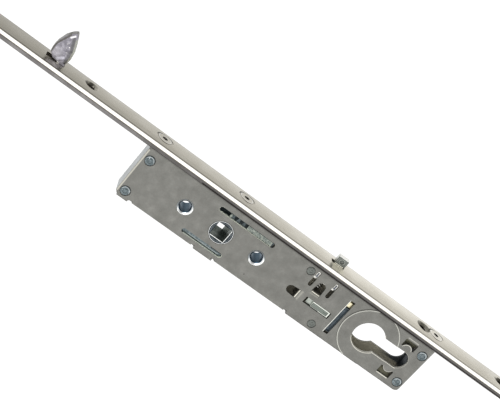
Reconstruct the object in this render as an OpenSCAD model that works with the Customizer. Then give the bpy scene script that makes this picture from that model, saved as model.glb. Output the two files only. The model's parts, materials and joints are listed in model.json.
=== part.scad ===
// Patio door lock: a sheet steel case behind a domed faceplate strip, with a sliding rail that
// carries two claws. Millimetres. The origin is the spindle's axis at mid thickness, +X points out
// of the faceplate, +Y across the case and +Z up the strip. Everything is drawn unlocked.

/* [Faceplate] */
// Width of the faceplate strip
plate_w = 16; // [16:0.5:20]
// Thickness of the strip at its long edges
plate_edge_t = 1.9; // [1.5:0.1:2.4]
// Rounding of the strip's long front edges
plate_rim_r = 0.5; // [0.2:0.1:0.8]
// How far the middle of the strip stands above its edges
plate_crown = 0.8; // [0.4:0.1:1.2]
// Height of the strip's top end above the spindle
plate_top = 248; // [240:1:300]
// Depth of the strip's bottom end below the spindle
plate_bottom = 320; // [312:1:380]
// Radius of the strip's corners
plate_corner_r = 3; // [1:0.5:6]
// Height of the upper door screw that shows near the claw
upper_door_screw = 90.7; // [74:0.1:94]
// Depth of the lower door screw
lower_door_screw = 162.7; // [150:0.1:166]
// Radius of the door screws' clearance holes
door_hole_r = 2.3; // [2:0.1:2.6]
// Distance from each end of the strip to its end screw
end_screw_inset = 16; // [10:1:18]

/* [Drive rail] */
// Thickness of the rail
rail_t = 2.1; // [2:0.1:3]
// How much narrower the rail is than the faceplate, each side
rail_inset = 0.2; // [0.1:0.1:1]
// Chamfer along the rail's back edges
rail_chamfer = 0.6; // [0.2:0.1:0.8]
// Running gap in front of the rail and behind it
rail_gap = 0.2; // [0.15:0.05:0.3]
// Distance from each end of the faceplate to the rail's end
rail_end_inset = 30; // [28:1:36]
// Travel of the rail from unlocked to locked
stroke = 5.6; // [4:0.1:5.8]

/* [Claws] */
// Height of the upper claw's neck above the spindle
upper_claw_z = 108.3; // [104:0.1:140]
// Depth of the lower claw's neck below the spindle
lower_claw_z = 180.3; // [176:0.1:210]
// Reach of a claw's tip beyond the faceplate
claw_reach = 16.8; // [14:0.2:18]
// Thickness of a claw
claw_t = 4.4; // [3:0.1:5]
// Length of the neck along the strip
claw_neck = 3.8; // [3.4:0.1:4.4]
// Gap under the claw's mouth, for the keep
claw_mouth = 2.3; // [1.6:0.1:3]

/* [Case] */
// Distance from the faceplate's crown to the spindle's axis
backset = 20; // [20:0.5:24]
// Thickness of the case
case_t = 11.5; // [11.5:0.5:14]
// Thickness of the case's sheets
sheet_t = 1.2; // [0.8:0.1:1.4]
// Height of the case's top above the spindle
case_top = 52.5; // [51:0.5:60]
// Depth of the case's bottom below the spindle
case_bottom = 123.5; // [123.5:0.5:130]
// Distance from the spindle's axis to the back of the case
case_back = 15.1; // [15.1:0.1:18]
// Outer radius of the bends at the case's ends
bend_r = 1.4; // [1.4:0.1:2]
// Radius of the case's lower back corner
corner_r = 3; // [2:0.5:4]
// Distance from each end of the case to the rivets and the screw there
end_row = 3.85; // [3.7:0.05:4]
// Radius of the rivets' shanks
rivet_r = 1.5; // [1.2:0.1:1.6]
// Radius of the rivets' heads
rivet_head_r = 2.45; // [2.2:0.05:2.6]
// Radius of the two middle rivets' heads
middle_rivet_head_r = 2.05; // [1.9:0.05:2.2]

/* [Handle] */
// Width of the spindle's square
spindle_square = 8; // [7:0.5:8]
// Distance between the two handle screws
handle_pitch = 43; // [43:1:48]
// Radius of the handle screws' holes
handle_hole_r = 2.9; // [2.6:0.1:3.4]
// Outer radius of the bushes round them
handle_bush_r = 4.1; // [3.9:0.1:4.6]
// Radius of the hub's journals in the case
hub_journal_r = 6; // [5.9:0.1:6.6]
// Module of the hub's teeth
tooth_module = 1; // [1:0.02:1.04]
// Number of teeth round the hub, an odd number
hub_teeth = 19; // [19:2:19]

/* [Cylinder] */
// Distance from the spindle down to the cylinder
cylinder_z = 92; // [92:0.5:92.5]
// Radius of the cylinder hole's round part
cylinder_r = 8.5; // [8.4:0.1:8.8]
// Width of the cylinder hole's narrow part
cylinder_neck = 10.3; // [10:0.1:10.8]
// Depth of the narrow part below the cylinder's axis
cylinder_drop = 24.5; // [24:0.1:24.6]
// Radius of the raised ring round the cylinder
ring_r = 15.8; // [15:0.1:15.8]
// Height of the raised ring
ring_h = 0.35; // [0.2:0.05:0.5]
// Distance from the cylinder's axis down to its fixing screw
cylinder_screw_drop = 19.5; // [18.5:0.1:19.5]
// Radius of the hole for the cylinder's fixing screw
cylinder_screw_r = 2.65; // [2.4:0.05:2.8]

/* [Plunger and deadlock] */
// Depth of the plunger's axis below the spindle
plunger_z = 56; // [55.8:0.1:56.2]
// Length of the plunger's head along the strip
plunger_len = 5.8; // [5:0.1:6.2]
// Width of the plunger's head across the strip
plunger_w = 2.9; // [2.4:0.1:4]
// How far the plunger stands out of the faceplate
plunger_out = 4.7; // [3:0.1:4.8]
// Travel of the cam follower and of the deadlock slide
deadlock_travel = 4.2; // [3:0.1:4.3]
// Wire radius of the springs
wire_r = 0.3; // [0.25:0.05:0.35]

/* [Clearances] */
// Gap between the moving pieces and the sheets they run between
side_play = 0.2; // [0.15:0.05:0.3]
// Radial gap of the hub's journals
journal_gap = 0.08; // [0.05:0.01:0.1]
// Play between meshing teeth, measured along the pitch line
backlash = 0.24; // [0.2:0.02:0.3]
// Gap round a moving piece in its slot
slot_gap = 0.3; // [0.25:0.05:0.35]

/* [Hidden] */
$fn = 48;
// How far a cutting tool runs past what it cuts
over = 1;

// Planes across the depth, from the front to the back
crown_x = backset;
edge_x = crown_x - plate_crown;
plate_back = edge_x - plate_edge_t;
rail_front = plate_back - rail_gap;
rail_back = rail_front - rail_t;
case_front = rail_back - rail_gap;
front_in = case_front - sheet_t;
tab_t = 0.8;
back_out = -case_back + tab_t;
back_in = back_out + sheet_t;

// Planes across the thickness
near = -case_t / 2;
far = case_t / 2;
near_in = near + sheet_t;
far_in = far - sheet_t;
piece_y = far_in - side_play;
rib_y = near + slot_gap;
rib_top = 0.25;

// Screws in the faceplate
upper_screw = case_top - end_row;
middle_screw = 0;
lower_screw = -case_bottom + end_row;
case_screw_zs = [upper_screw, middle_screw, lower_screw];
cylinder_screw = -cylinder_z - cylinder_screw_drop;
door_screw_zs = [plate_top - end_screw_inset, upper_door_screw, -lower_door_screw,
    -plate_bottom + end_screw_inset];
door_head_r = 3.6;
case_head_r = 4.1;
cylinder_head_r = 4.2;
case_shank_r = 2;
recess_w = 0.9;
recess_depth = 1.2;
recess_len = 0.65 * case_head_r;
thread_gap = 0.05;
screw_end = 11;
middle_screw_end = front_in + 0.1;
spacer_r = case_shank_r + 0.5;
keeper_r = 2.2;
keeper_rim_r = 3.4;
keeper_head_r = 4;
keeper_head_t = 0.9;
keeper_zs = [160, -235];

// Claw leaf: height above and below the neck, gap over the strip, and the bevel's width
leaf_up = 7.3;
leaf_down = 2.7;
leaf_gap = 0.35;
leaf_bevel = 1.3;

// Hub, rack and slides
pitch_r = tooth_module * hub_teeth / 2;
tip_r = pitch_r + tooth_module;
root_r = pitch_r - 1.25 * tooth_module;
tooth_step = PI * tooth_module;
pressure_angle = 20;
gear_near = near_in + 1.35;
rack_near = gear_near - side_play;
shoulder_r = 8;
slide_front = front_in - slot_gap;
slot_x = pitch_r + 0.6;
slot_half = 1.4;
slide_tab_top = 2.1;
slide_tab = 1.1;
slide_rib_top = -8.4;
slide_rib_end = -22.9;
slide_end = -23.3;
slide_tail = 7;
slide_tail_half = 1.25;
rack_top = 2.4;
stud_r = 1.9;
stud_zs = [-12.4, -18.6];
return_slot_x = -10.2;
return_slot_half = 1.25;
return_slot_top = 15.7;
return_slot_end = -7.9;
return_top = 20;
return_step = -1.1;
return_flange_end = -9;
return_end = -9.6;
return_back = back_in + slot_gap;
return_root = -pitch_r - 1.25 * tooth_module;
seat_z = -21.4;
seat_t = 1.6;
seat_x = -8.9;
peg_r = 0.4;
peg_depth = 0.3;
peg_inset = 2.5;
foot_x = -9.2;
foot_t = 1.4;
return_spring_x = -11;
return_spring_r = 1.5;
return_spring_turns = 7;

// Plunger and its slots
ear_w = 1.5;
ear_slot = 2.1;
ear_step = 5.5;
ear_front = 13.1;
ear_len = 3.4;
ear_slot_front = ear_front + slot_gap;
ear_slot_back = ear_front - ear_len - plunger_out - slot_gap - 0.5;
carriage_back = ear_front - ear_len - 1;
carriage_front = 12.4;
spring_bore_r = 2.3;
plunger_spring_r = 1.7;
plunger_spring_turns = 6;
plunger_head_z = -plunger_z - 0.7;
plunger_slot_extra = 1.5;
plunger_chamfer = 0.15;
dimple_r = 1.15;
dimple_h = 0.25;

// Half-round windows and the tabs that are lanced out of them
seat_tab_t = 1.2;
tab_depth = 7.2;
lip_run = 1.7;
window_a_drop = 48.7;
window_a_flat = -window_a_drop;
window_a_x = -2.8;
window_a_len = 5.9;
window_a_w = 5.3;
window_b_flat = carriage_back - plunger_out - 0.8;
window_b_len = 6.2;
window_b_w = 5.3;

// Cam follower and deadlock
cam_r = 15.3;
follower_z = -73.5;
rib_half = 1.1;
rib_left = -10.1;
rib_right = 6.1;
cross_slot_half = rib_half + 0.2;
shoe_len = 3.1;
follower_near = -2.2;
cam_floor = -cylinder_z + cam_r + 0.5;
prong_w = 3;
prong_drop = 3.1;
arm_left = -8.2;
arm_right = -3;
pin_x = -5.6;
pin_z = -61.2;
pin_r = 1.2;
arm_top = pin_z + 1.8;
spine_left = -4.4;
spine_right = -1.35;
spine_top = -58.3;
spine_end = -68.7;
deadlock_left = -8.3;
deadlock_right = 1.5;
deadlock_top = -58.1;
deadlock_end = -70.9;
tongue_top = -55.3;
deadlock_near = near_in + side_play;
deadlock_far = follower_near - side_play;

// Lanced windows beside the cylinder
lance_in = 7.4;
lance_out = 11.7;
lance_drop = 18.9;
lance_z = -cylinder_z - lance_drop;
lance_half = 3.75;
tongue_r = 3;
lip_w = 1.1;

// Rivets: x, z and the head's radius
rivet_places = [[8.6, upper_screw, rivet_head_r], [-11, upper_screw, rivet_head_r],
    [11, -46.5, middle_rivet_head_r], [-11.5, -65.1, middle_rivet_head_r],
    [8.6, lower_screw, rivet_head_r], [-10.6, lower_screw, rivet_head_r]];
spacer_places = [rivet_places[2], rivet_places[3]];
sink_h = 0.45;
bush_proud = 0.15;
bush_far_flare = 0.3;
sleeve_r = 2.1;

// Back edge of the case: the zones where its tabs are folded round the cover's back wall
upper_tab_start = 7.6;
upper_tab_end = 1.6;
tab_zones = [[case_top - upper_tab_start, case_top - upper_tab_end], [-5.3, 5.6],
    [-case_bottom + corner_r, -51.3]];
relief = 2.3;
relief_depth = 0.9;

// A flat outline, drawn as x and z, made solid from y0 to y1
module across(y0, y1) {
    translate([0, y1, 0]) rotate([90, 0, 0]) linear_extrude(y1 - y0) children();
}

// A flat outline, drawn as y and z, made solid from x0 to x1
module along_x(x0, x1) {
    translate([x0, 0, 0]) rotate([90, 0, 90]) linear_extrude(x1 - x0) children();
}

// A box between two corners
module box(low, high) {
    translate(low) cube(high - low);
}

// A round rod along X
module rod_x(x0, x1, y, z, r) {
    translate([x0, y, z]) rotate([0, 90, 0]) cylinder(h = x1 - x0, r = r);
}

// A round rod along Y
module rod_y(y0, y1, x, z, r) {
    translate([x, y1, z]) rotate([90, 0, 0]) cylinder(h = y1 - y0, r = r);
}

// An upright slot with round ends, cut through from x0 to x1
module strip_slot(z0, z1, half, x0, x1) {
    rod_x(x0, x1, 0, z0 + half, half);
    rod_x(x0, x1, 0, z1 - half, half);
    box([x0, -half, z0 + half], [x1, half, z1 - half]);
}

// A rectangle from one corner to another with four round corners
module round_rect(low, high, r) {
    translate(low + [r, 0]) square([high.x - low.x - 2 * r, high.y - low.y]);
    translate(low + [0, r]) square([high.x - low.x, high.y - low.y - 2 * r]);
    for (x = [low.x + r, high.x - r], y = [low.y + r, high.y - r]) translate([x, y]) circle(r);
}

// A long round-ended hole, drawn flat, upright or lying
module upright_hole(x, z0, z1, half) {
    for (z = [z0 + half, z1 - half]) translate([x, z]) circle(half);
    translate([x - half, z0 + half]) square([2 * half, z1 - z0 - 2 * half]);
}

module lying_hole(x0, x1, z, half) {
    for (x = [x0 + half, x1 - half]) translate([x, z]) circle(half);
    translate([x0 + half, z - half]) square([x1 - x0 - 2 * half, 2 * half]);
}

// The countersunk hole for a screw in the faceplate
module screw_sink(z, head_r, hole_r) {
    rod_x(plate_back - over, crown_x + over, 0, z, hole_r);
    translate([crown_x - head_r + hole_r, 0, z]) rotate([0, 90, 0])
        cylinder(h = head_r - hole_r + over, r1 = hole_r, r2 = head_r + over);
}

// A countersunk screw with a cross recess, from the crown back to x_end
module flush_screw(z, x_end) {
    head_r = case_head_r - 0.15;
    difference() {
        union() {
            rod_x(x_end, crown_x, 0, z, case_shank_r);
            translate([crown_x - head_r + case_shank_r, 0, z]) rotate([0, 90, 0])
                cylinder(h = head_r - case_shank_r, r1 = case_shank_r, r2 = head_r);
        }
        for (turn = [0, 90]) translate([crown_x, 0, z]) rotate([turn, 0, 0])
            cube([recess_depth * 2, recess_w, recess_len], center = true);
    }
}

// Where the rail needs a slot to clear a fixed piece of radius r at height z
module rail_clear(z, r) {
    strip_slot(z - stroke - r - slot_gap, z + r + slot_gap, r + slot_gap,
        rail_back - over, rail_front + over);
}

// The strip's cross-section, drawn as x and y: a dome with two rounded long edges
module plate_section() {
    half = plate_w / 2;
    dome_r = (half * half + plate_crown * plate_crown) / (2 * plate_crown);
    rim_y = half - plate_rim_r;
    rim_x = crown_x - dome_r + sqrt(dome_r * dome_r - rim_y * rim_y) - plate_rim_r;
    intersection() {
        translate([crown_x - dome_r, 0]) circle(dome_r, $fn = 180);
        translate([plate_back, -rim_y]) square([crown_x - plate_back, 2 * rim_y]);
    }
    translate([plate_back, -half]) square([rim_x - plate_back, plate_w]);
    for (y = [-rim_y, rim_y]) translate([rim_x, y]) circle(plate_rim_r);
}

module faceplate() {
    half = plate_w / 2;
    color("gainsboro") difference() {
        intersection() {
            translate([0, 0, -plate_bottom]) linear_extrude(plate_bottom + plate_top) plate_section();
            along_x(plate_back - over, crown_x + over)
                round_rect([-half, -plate_bottom], [half, plate_top], plate_corner_r);
        }
        for (z = door_screw_zs) screw_sink(z, door_head_r, door_hole_r);
        for (z = case_screw_zs) screw_sink(z, case_head_r, case_shank_r + 0.15);
        for (z = keeper_zs) screw_sink(z, keeper_rim_r, keeper_r);
        screw_sink(cylinder_screw, cylinder_head_r, cylinder_screw_r);
        for (z = [upper_claw_z, -lower_claw_z]) claw_slot(z);
        plunger_way(plate_back - over, crown_x + over, slot_gap, plunger_slot_extra);
    }
}

// The plunger's way through a wall from x0 to x1, with room below and above it
module plunger_way(x0, x1, below, above) {
    half = plunger_w / 2 + slot_gap;
    box([x0, -half, plunger_head_z - plunger_len / 2 - below],
        [x1, half, plunger_head_z + plunger_len / 2 + above]);
}

// The faceplate's slot for a claw's neck
module claw_slot(z) {
    half = claw_t / 2 + slot_gap;
    along_x(plate_back - over, crown_x + over)
        round_rect([-half, z - claw_neck / 2 - slot_gap], [half, z + claw_neck / 2 + stroke + slot_gap], 0.5);
}

module drive_rail() {
    half = plate_w / 2 - rail_inset;
    color("darkgray") difference() {
        translate([0, 0, -plate_bottom + rail_end_inset])
            linear_extrude(plate_bottom + plate_top - 2 * rail_end_inset)
                polygon([[rail_front, -half], [rail_front, half], [rail_back + rail_chamfer, half],
                    [rail_back, half - rail_chamfer], [rail_back, rail_chamfer - half],
                    [rail_back + rail_chamfer, -half]]);
        for (z = [upper_door_screw, -lower_door_screw]) rail_clear(z, door_hole_r);
        for (z = [upper_screw, middle_screw]) rail_clear(z, spacer_r);
        strip_slot(lower_screw - stroke - spacer_r - slot_gap, cylinder_screw + cylinder_screw_r + slot_gap,
            cylinder_screw_r + slot_gap, rail_back - over, rail_front + over);
        for (z = keeper_zs) rail_clear(z, keeper_r);
        for (z = stud_zs) rod_x(rail_back - over, rail_front + over, 0, z, stud_r + thread_gap);
        for (z = [upper_claw_z, -lower_claw_z]) claw_foot(z, over);
        plunger_way(rail_back - over, rail_front + over, slot_gap + stroke, slot_gap);
    }
}

// The claw's foot, which fills its hole in the rail
module claw_foot(z, more = 0) {
    half = claw_t / 2 - 0.2;
    box([rail_back - more, -half, z - claw_neck / 2 + 0.1],
        [rail_front + more, half, z + claw_neck / 2 - 0.1]);
}

// The leaf's outline seen from the side, in shares of its reach and of its height above and below
// the neck. shrink draws the low side in, to leave a bevel there
module claw_leaf(z, shrink) {
    root_x = crown_x + leaf_gap;
    upper = [[0.19, 0.99], [0.33, 1], [0.49, 0.96], [0.75, 0.77], [0.915, 0.5], [0.975, 0.34],
        [1, 0.23]];
    nose = [[0.965, 0.14, 0.5], [0.905, 0.07, 0.8]];
    lower = [[0.7, 0.37, 1], [0.49, 0.83, 1.1], [0.24, 1, 1.1], [0.09, 0.81, 1]];
    polygon(concat(
        [[root_x, z - 0.37 * leaf_down + 0.8 * shrink], [root_x, z + 0.26 * leaf_up],
            [root_x + leaf_gap, z + 0.64 * leaf_up], [crown_x + claw_mouth, z + 0.9 * leaf_up]],
        [for (p = upper) [crown_x + p.x * claw_reach, z + p.y * leaf_up]],
        [for (p = nose) [crown_x + p.x * claw_reach, z + p.y * leaf_up + (p.z - 0.4) * shrink]],
        [for (p = lower) [crown_x + p.x * claw_reach, z - p.y * leaf_down + p.z * shrink]]));
}

module claw(z) {
    half = claw_t / 2;
    color("lightsteelblue") union() {
        hull() {
            across(-half, half) claw_leaf(z, leaf_bevel);
            across(-half + 0.25 * leaf_bevel, half - 0.25 * leaf_bevel) claw_leaf(z, 0.7 * leaf_bevel);
            across(-half + leaf_bevel, half - leaf_bevel) claw_leaf(z, 0);
        }
        box([rail_front, -half, z - claw_neck / 2], [crown_x + 1.2, half, z + claw_neck / 2]);
        claw_foot(z);
    }
}

// The near sheet's outline with its folded tabs and reliefs
module case_outline() {
    difference() {
        union() {
            translate([back_out, -case_bottom]) square([case_front - back_out, case_bottom + case_top]);
            for (zone = tab_zones)
                translate([-case_back, zone[0]]) square([case_back, zone[1] - zone[0]]);
            translate([-case_back + corner_r, -case_bottom]) square([corner_r, corner_r * 2]);
            translate([-case_back + corner_r, -case_bottom + corner_r]) circle(corner_r);
        }
        difference() {
            translate([-case_back - over, -case_bottom - over]) square([over + corner_r, over + corner_r]);
            translate([-case_back + corner_r, -case_bottom + corner_r]) circle(corner_r);
        }
        translate([back_out, case_top]) rotate(45) square(1.7, center = true);
        for (z = [tab_zones[0][0] - relief, tab_zones[1][1], tab_zones[1][0] - relief / 2, tab_zones[2][1]])
            translate([-case_back - over, z]) square([over + tab_t + relief_depth, relief / 1.2]);
    }
}

// Everything that is cut through the near sheet
module case_windows() {
    circle(hub_journal_r + journal_gap);
    for (z = [-handle_pitch / 2, handle_pitch / 2]) translate([0, z]) circle(handle_bush_r + thread_gap);
    cylinder_hole();
    upright_hole(slot_x, slide_end - 1.3, slide_tab_top + stroke + 0.6, slot_half);
    upright_hole(return_slot_x, return_slot_end, return_slot_top, return_slot_half);
    for (side = [-1, 1])
        lying_hole(ear_slot_back, ear_slot_front, -plunger_z + side * ear_step, ear_slot / 2);
    translate([spine_left - slot_gap, spine_end - 0.6])
        square([spine_right - spine_left + 2 * slot_gap, spine_top + deadlock_travel - spine_end + 0.9]);
    translate([rib_left - 1.2, follower_z - cross_slot_half])
        square([rib_right + deadlock_travel - rib_left + 1.6, 2 * cross_slot_half]);
    half_round([window_a_x, window_a_flat], 90, window_a_len, window_a_w);
    half_round([window_b_flat, -plunger_z], 0, window_b_len, window_b_w);
    for (side = [-1, 1]) scale([side, 1]) lance_window();
}

// The hole for a profile cylinder: a round part with a narrower one below it
module cylinder_hole() {
    translate([0, -cylinder_z]) circle(cylinder_r);
    upright_hole(0, -cylinder_z - cylinder_drop, -cylinder_z, cylinder_neck / 2);
}

// A window with one flat side at a point and a round end in the direction of turn
module half_round(at, turn, len, w) {
    end_r = 0.44 * w;
    translate(at) rotate(turn) {
        translate([len - end_r, 0]) circle(end_r);
        polygon([[0, -w / 2], [0, w / 2], [len - end_r, end_r], [len - end_r, -end_r]]);
    }
}

// A window with a round tongue standing into it
module lance_window() {
    difference() {
        translate([lance_in, lance_z - lance_half]) square([lance_out - lance_in, 2 * lance_half]);
        translate([lance_in - 1, lance_z]) circle(tongue_r);
    }
}

module lock_case() {
    color("darkgray") difference() {
        union() {
            intersection() {
                across(near, far) case_outline();
                case_shell();
            }
            near_tabs();
            intersection() {
                rod_y(near - ring_h, near, 0, -cylinder_z, ring_r);
                across(near - ring_h, near) case_outline();
            }
            for (zone = tab_zones) box([-case_back, near, zone[0]], [back_out, -1, zone[1]]);
        }
        across(near - over, near_in + 0.01) case_windows();
        for (place = rivet_places) rivet_hole(place, near - over, near + sink_h);
        for (place = rivet_places) rod_y(near - over, near_in + over, place.x, place.y, rivet_r + thread_gap);
        for (side = [-1, 1]) lip_cut(side);
        window_lips();
        rod_y(near - over, near + peg_depth, back_in + peg_inset, seat_z - seat_t / 2, peg_r);
    }
}

// The sheet with its two end walls, bent from one piece
module case_shell() {
    along_x(-case_back - over, case_front + over) difference() {
        union() {
            round_rect([near, -case_bottom], [far, case_top], bend_r);
            translate([0, -case_bottom]) square([far, case_bottom + case_top]);
        }
        translate([near_in, -case_bottom + sheet_t])
            square([case_t + over, case_bottom + case_top - 2 * sheet_t]);
    }
}

// The two tabs lanced inwards, which springs and slides bear on
module near_tabs() {
    box([window_a_x - window_a_w / 2, near_in, window_a_flat - seat_tab_t],
        [window_a_x + window_a_w / 2, near + tab_depth, window_a_flat]);
    box([window_b_flat - seat_tab_t, near_in, -plunger_z - window_b_w / 2],
        [window_b_flat, near + tab_depth, -plunger_z + window_b_w / 2]);
}

// The rolled edges where those tabs bend inwards
module window_lips() {
    translate([window_a_x - window_a_w / 2, 0, 0]) rotate([90, 0, 90])
        linear_extrude(window_a_w) lip_corner(window_a_flat);
    translate([0, 0, -plunger_z - window_b_w / 2])
        linear_extrude(window_b_w) mirror([0, 1]) rotate(-90) lip_corner(window_b_flat);
}

// The corner to take off: the surface lies along the second axis, the window starts at flat
module lip_corner(flat) {
    polygon([[near - over, flat - lip_run], [near, flat - lip_run], [near + 0.45, flat - 0.6],
        [near + sheet_t, flat], [near + sheet_t, flat + 0.1], [near - over, flat + 0.1]]);
}

// The slope that leads into a lanced window's outer side
module lip_cut(side) {
    scale_x = side * (lance_out + lip_w);
    translate([scale_x, near, lance_z]) rotate([0, 0, side * 35])
        translate([-side * lip_w * 1.3, -sheet_t, 0])
            cube([2.6 * lip_w, 2 * sheet_t, 2 * lance_half - 0.6], center = true);
}

// The sunk seat of a rivet's head
module rivet_hole(place, y0, y1) {
    rod_y(y0, y1, place.x, place.y, place.z + 0.25);
}

module case_cover() {
    low = -case_bottom + sheet_t;
    high = case_top - sheet_t;
    color("darkgray") difference() {
        union() {
            box([back_out, far_in, low], [case_front, far, high]);
            box([back_out, near_in, low + corner_r], [back_in, far, high]);
            box([front_in, near_in, low], [case_front, far, high]);
        }
        across(far_in - over, far + over) {
            circle(hub_journal_r + journal_gap);
            for (z = [-handle_pitch / 2, handle_pitch / 2])
                translate([0, z]) circle(handle_bush_r + thread_gap);
            cylinder_hole();
        }
        for (place = rivet_places) {
            rivet_hole(place, far - sink_h, far + over);
            rod_y(far_in - over, far + over, place.x, place.y, rivet_r + thread_gap);
        }
        for (z = case_screw_zs) rod_x(front_in - over, case_front + over, 0, z, case_shank_r + thread_gap);
        for (place = spacer_places) rod_y(near_in - over, far_in, place.x, place.y, sleeve_r + thread_gap);
        rod_x(front_in - over, case_front + over, 0, cylinder_screw, cylinder_screw_r + 0.1);
        strip_slot(stud_zs[1] - stud_r - slot_gap, stud_zs[0] + stroke + stud_r + slot_gap,
            stud_r + slot_gap, front_in - over, case_front + over);
        plunger_way(front_in - over, case_front + over, slot_gap, slot_gap);
    }
}

// A block between the sheets at one end of the case
module end_block(z0, z1, screw_z, places) {
    color("silver") difference() {
        box([back_in, near_in, z0], [front_in, far_in, z1]);
        rod_x(screw_end - 1, front_in + over, 0, screw_z, case_shank_r + thread_gap);
        for (place = places) rod_y(near_in - over, far_in + over, place.x, place.y, rivet_r + thread_gap);
    }
}

module upper_end_block() {
    end_block(upper_screw - end_row + sheet_t + 0.4, case_top - sheet_t, upper_screw,
        [rivet_places[0], rivet_places[1]]);
}

module lower_end_block() {
    end_block(-case_bottom + sheet_t, lower_screw + 2.7, lower_screw, [rivet_places[4], rivet_places[5]]);
}

module case_rivets() {
    color("lightsteelblue") for (place = rivet_places) {
        rod_y(near + sink_h, far - sink_h, place.x, place.y, rivet_r);
        for (side = [0, 1]) mirror([0, side, 0])
            translate([place.x, near + sink_h, place.y]) rotate([90, 0, 0]) rivet_head(place.z);
    }
}

module rivet_head(r) {
    cylinder(h = sink_h - 0.05, r = r);
    translate([0, 0, sink_h - 0.05]) cylinder(h = 0.25, r1 = r, r2 = r - 0.5);
}

module rivet_spacers() {
    color("silver") for (place = spacer_places) difference() {
        rod_y(near_in, far_in, place.x, place.y, sleeve_r);
        rod_y(near_in - over, far_in + over, place.x, place.y, rivet_r + thread_gap);
    }
}

// A flared bush that lines a handle screw's way through the case
module handle_bush(z) {
    mouths = [handle_bush_r - 0.2, handle_hole_r + bush_far_flare];
    color("whitesmoke") difference() {
        rod_y(near - bush_proud, far + bush_proud, 0, z, handle_bush_r);
        rod_y(near - over, far + over, 0, z, handle_hole_r);
        for (side = [0, 1]) let (flare = mouths[side] - handle_hole_r) mirror([0, side, 0])
            translate([0, near - bush_proud + flare, z]) rotate([90, 0, 0])
                cylinder(h = flare + 0.01, r1 = handle_hole_r, r2 = mouths[side]);
    }
}

module upper_handle_bush() { handle_bush(handle_pitch / 2); }

module lower_handle_bush() { handle_bush(-handle_pitch / 2); }

module case_screws() {
    color("silver") {
        flush_screw(upper_screw, screw_end);
        flush_screw(middle_screw, middle_screw_end);
        flush_screw(lower_screw, screw_end);
    }
}

module rail_spacers() {
    color("silver") for (z = case_screw_zs) difference() {
        rod_x(case_front, plate_back, 0, z, spacer_r);
        rod_x(case_front - over, plate_back + over, 0, z, case_shank_r + thread_gap);
    }
}

module rail_keepers() {
    color("silver") for (z = keeper_zs) {
        rod_x(rail_back - rail_gap, crown_x - 0.1, 0, z, keeper_r - thread_gap);
        translate([crown_x - keeper_rim_r + keeper_r, 0, z]) rotate([0, 90, 0])
            cylinder(h = keeper_rim_r - keeper_r - 0.1, r1 = keeper_r - thread_gap, r2 = keeper_rim_r - 0.15);
        rod_x(rail_back - rail_gap - keeper_head_t, rail_back - rail_gap, 0, z, keeper_head_r);
    }
}

// Half the angle of one tooth of the hub at radius r, by the involute of its base circle
function involute(r) = let (base = pitch_r * cos(pressure_angle), a = acos(min(base / r, 1)))
    tan(a) * 180 / PI - a;
function tooth_half(r) = (tooth_step - backlash) / 4 / pitch_r * 180 / PI + involute(pitch_r) - involute(r);
function polar(r, a) = [r * cos(a), r * sin(a)];

module gear_outline() {
    base = pitch_r * cos(pressure_angle);
    mid = (base + tip_r) / 2;
    polygon([for (i = [0 : hub_teeth - 1], p = [
        [root_r, -tooth_half(base)], [base, -tooth_half(base)], [mid, -tooth_half(mid)],
        [tip_r, -tooth_half(tip_r)], [tip_r, tooth_half(tip_r)], [mid, tooth_half(mid)],
        [base, tooth_half(base)], [root_r, tooth_half(base)]])
            polar(p[0], p[1] + i * 360 / hub_teeth)]);
}

module hub() {
    color("silver") difference() {
        union() {
            across(gear_near, piece_y) gear_outline();
            rod_y(near_in + side_play, gear_near, 0, 0, shoulder_r);
            rod_y(near - 0.1, far + 0.1, 0, 0, hub_journal_r);
        }
        box([-spindle_square / 2, near - over, -spindle_square / 2],
            [spindle_square / 2, far + over, spindle_square / 2]);
        for (side = [0, 1]) mirror([0, side, 0]) square_mouth();
    }
}

// The small bevel round the mouth of the spindle's square
module square_mouth() {
    half = spindle_square / 2;
    slope = 0.3;
    translate([0, near - 0.1 + slope, 0]) rotate([90, 0, 0]) rotate(45)
        cylinder(h = 2 * slope, r1 = half * sqrt(2), r2 = (half + 2 * slope) * sqrt(2), $fn = 4);
}

// The gap between two rack teeth, drawn at z = 0 and open towards the hub on the low x side
module rack_gap() {
    half = (tooth_step + backlash) / 4;
    slope = tan(pressure_angle);
    deep = 1.25 * tooth_module;
    polygon([[pitch_r + deep, half - deep * slope], [pitch_r - deep, half + deep * slope],
        [pitch_r - deep, -half - deep * slope], [pitch_r + deep, -half + deep * slope]]);
}

module drive_slide() {
    tip_x = pitch_r - tooth_module;
    color("khaki") box([slot_x - slide_tail_half, -piece_y, rack_top - 1],
        [slot_x + slide_tail_half, gear_near - side_play - 0.1, rack_top + slide_tail]);
    color("khaki") difference() {
        union() {
            box([tip_x, -piece_y, slide_end], [slide_front, piece_y, rack_top]);
            box([slot_x - 1, rib_y, slide_tab_top - slide_tab], [slot_x + 1, -piece_y, slide_tab_top]);
            box([slot_x - 1.1, rib_y, slide_rib_end], [slot_x + 1.1, -piece_y, slide_rib_top]);
        }
        for (i = [-1 : 4]) translate([0, 0, -i * tooth_step]) across(-piece_y, case_t) rack_gap();
        for (z = stud_zs) rod_x(slide_front - 3, slide_front + over, 0, z, stud_r + thread_gap);
    }
}

module drive_studs() {
    color("silver") for (z = stud_zs) rod_x(slide_front - 3, rail_front, 0, z, stud_r);
}

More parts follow.
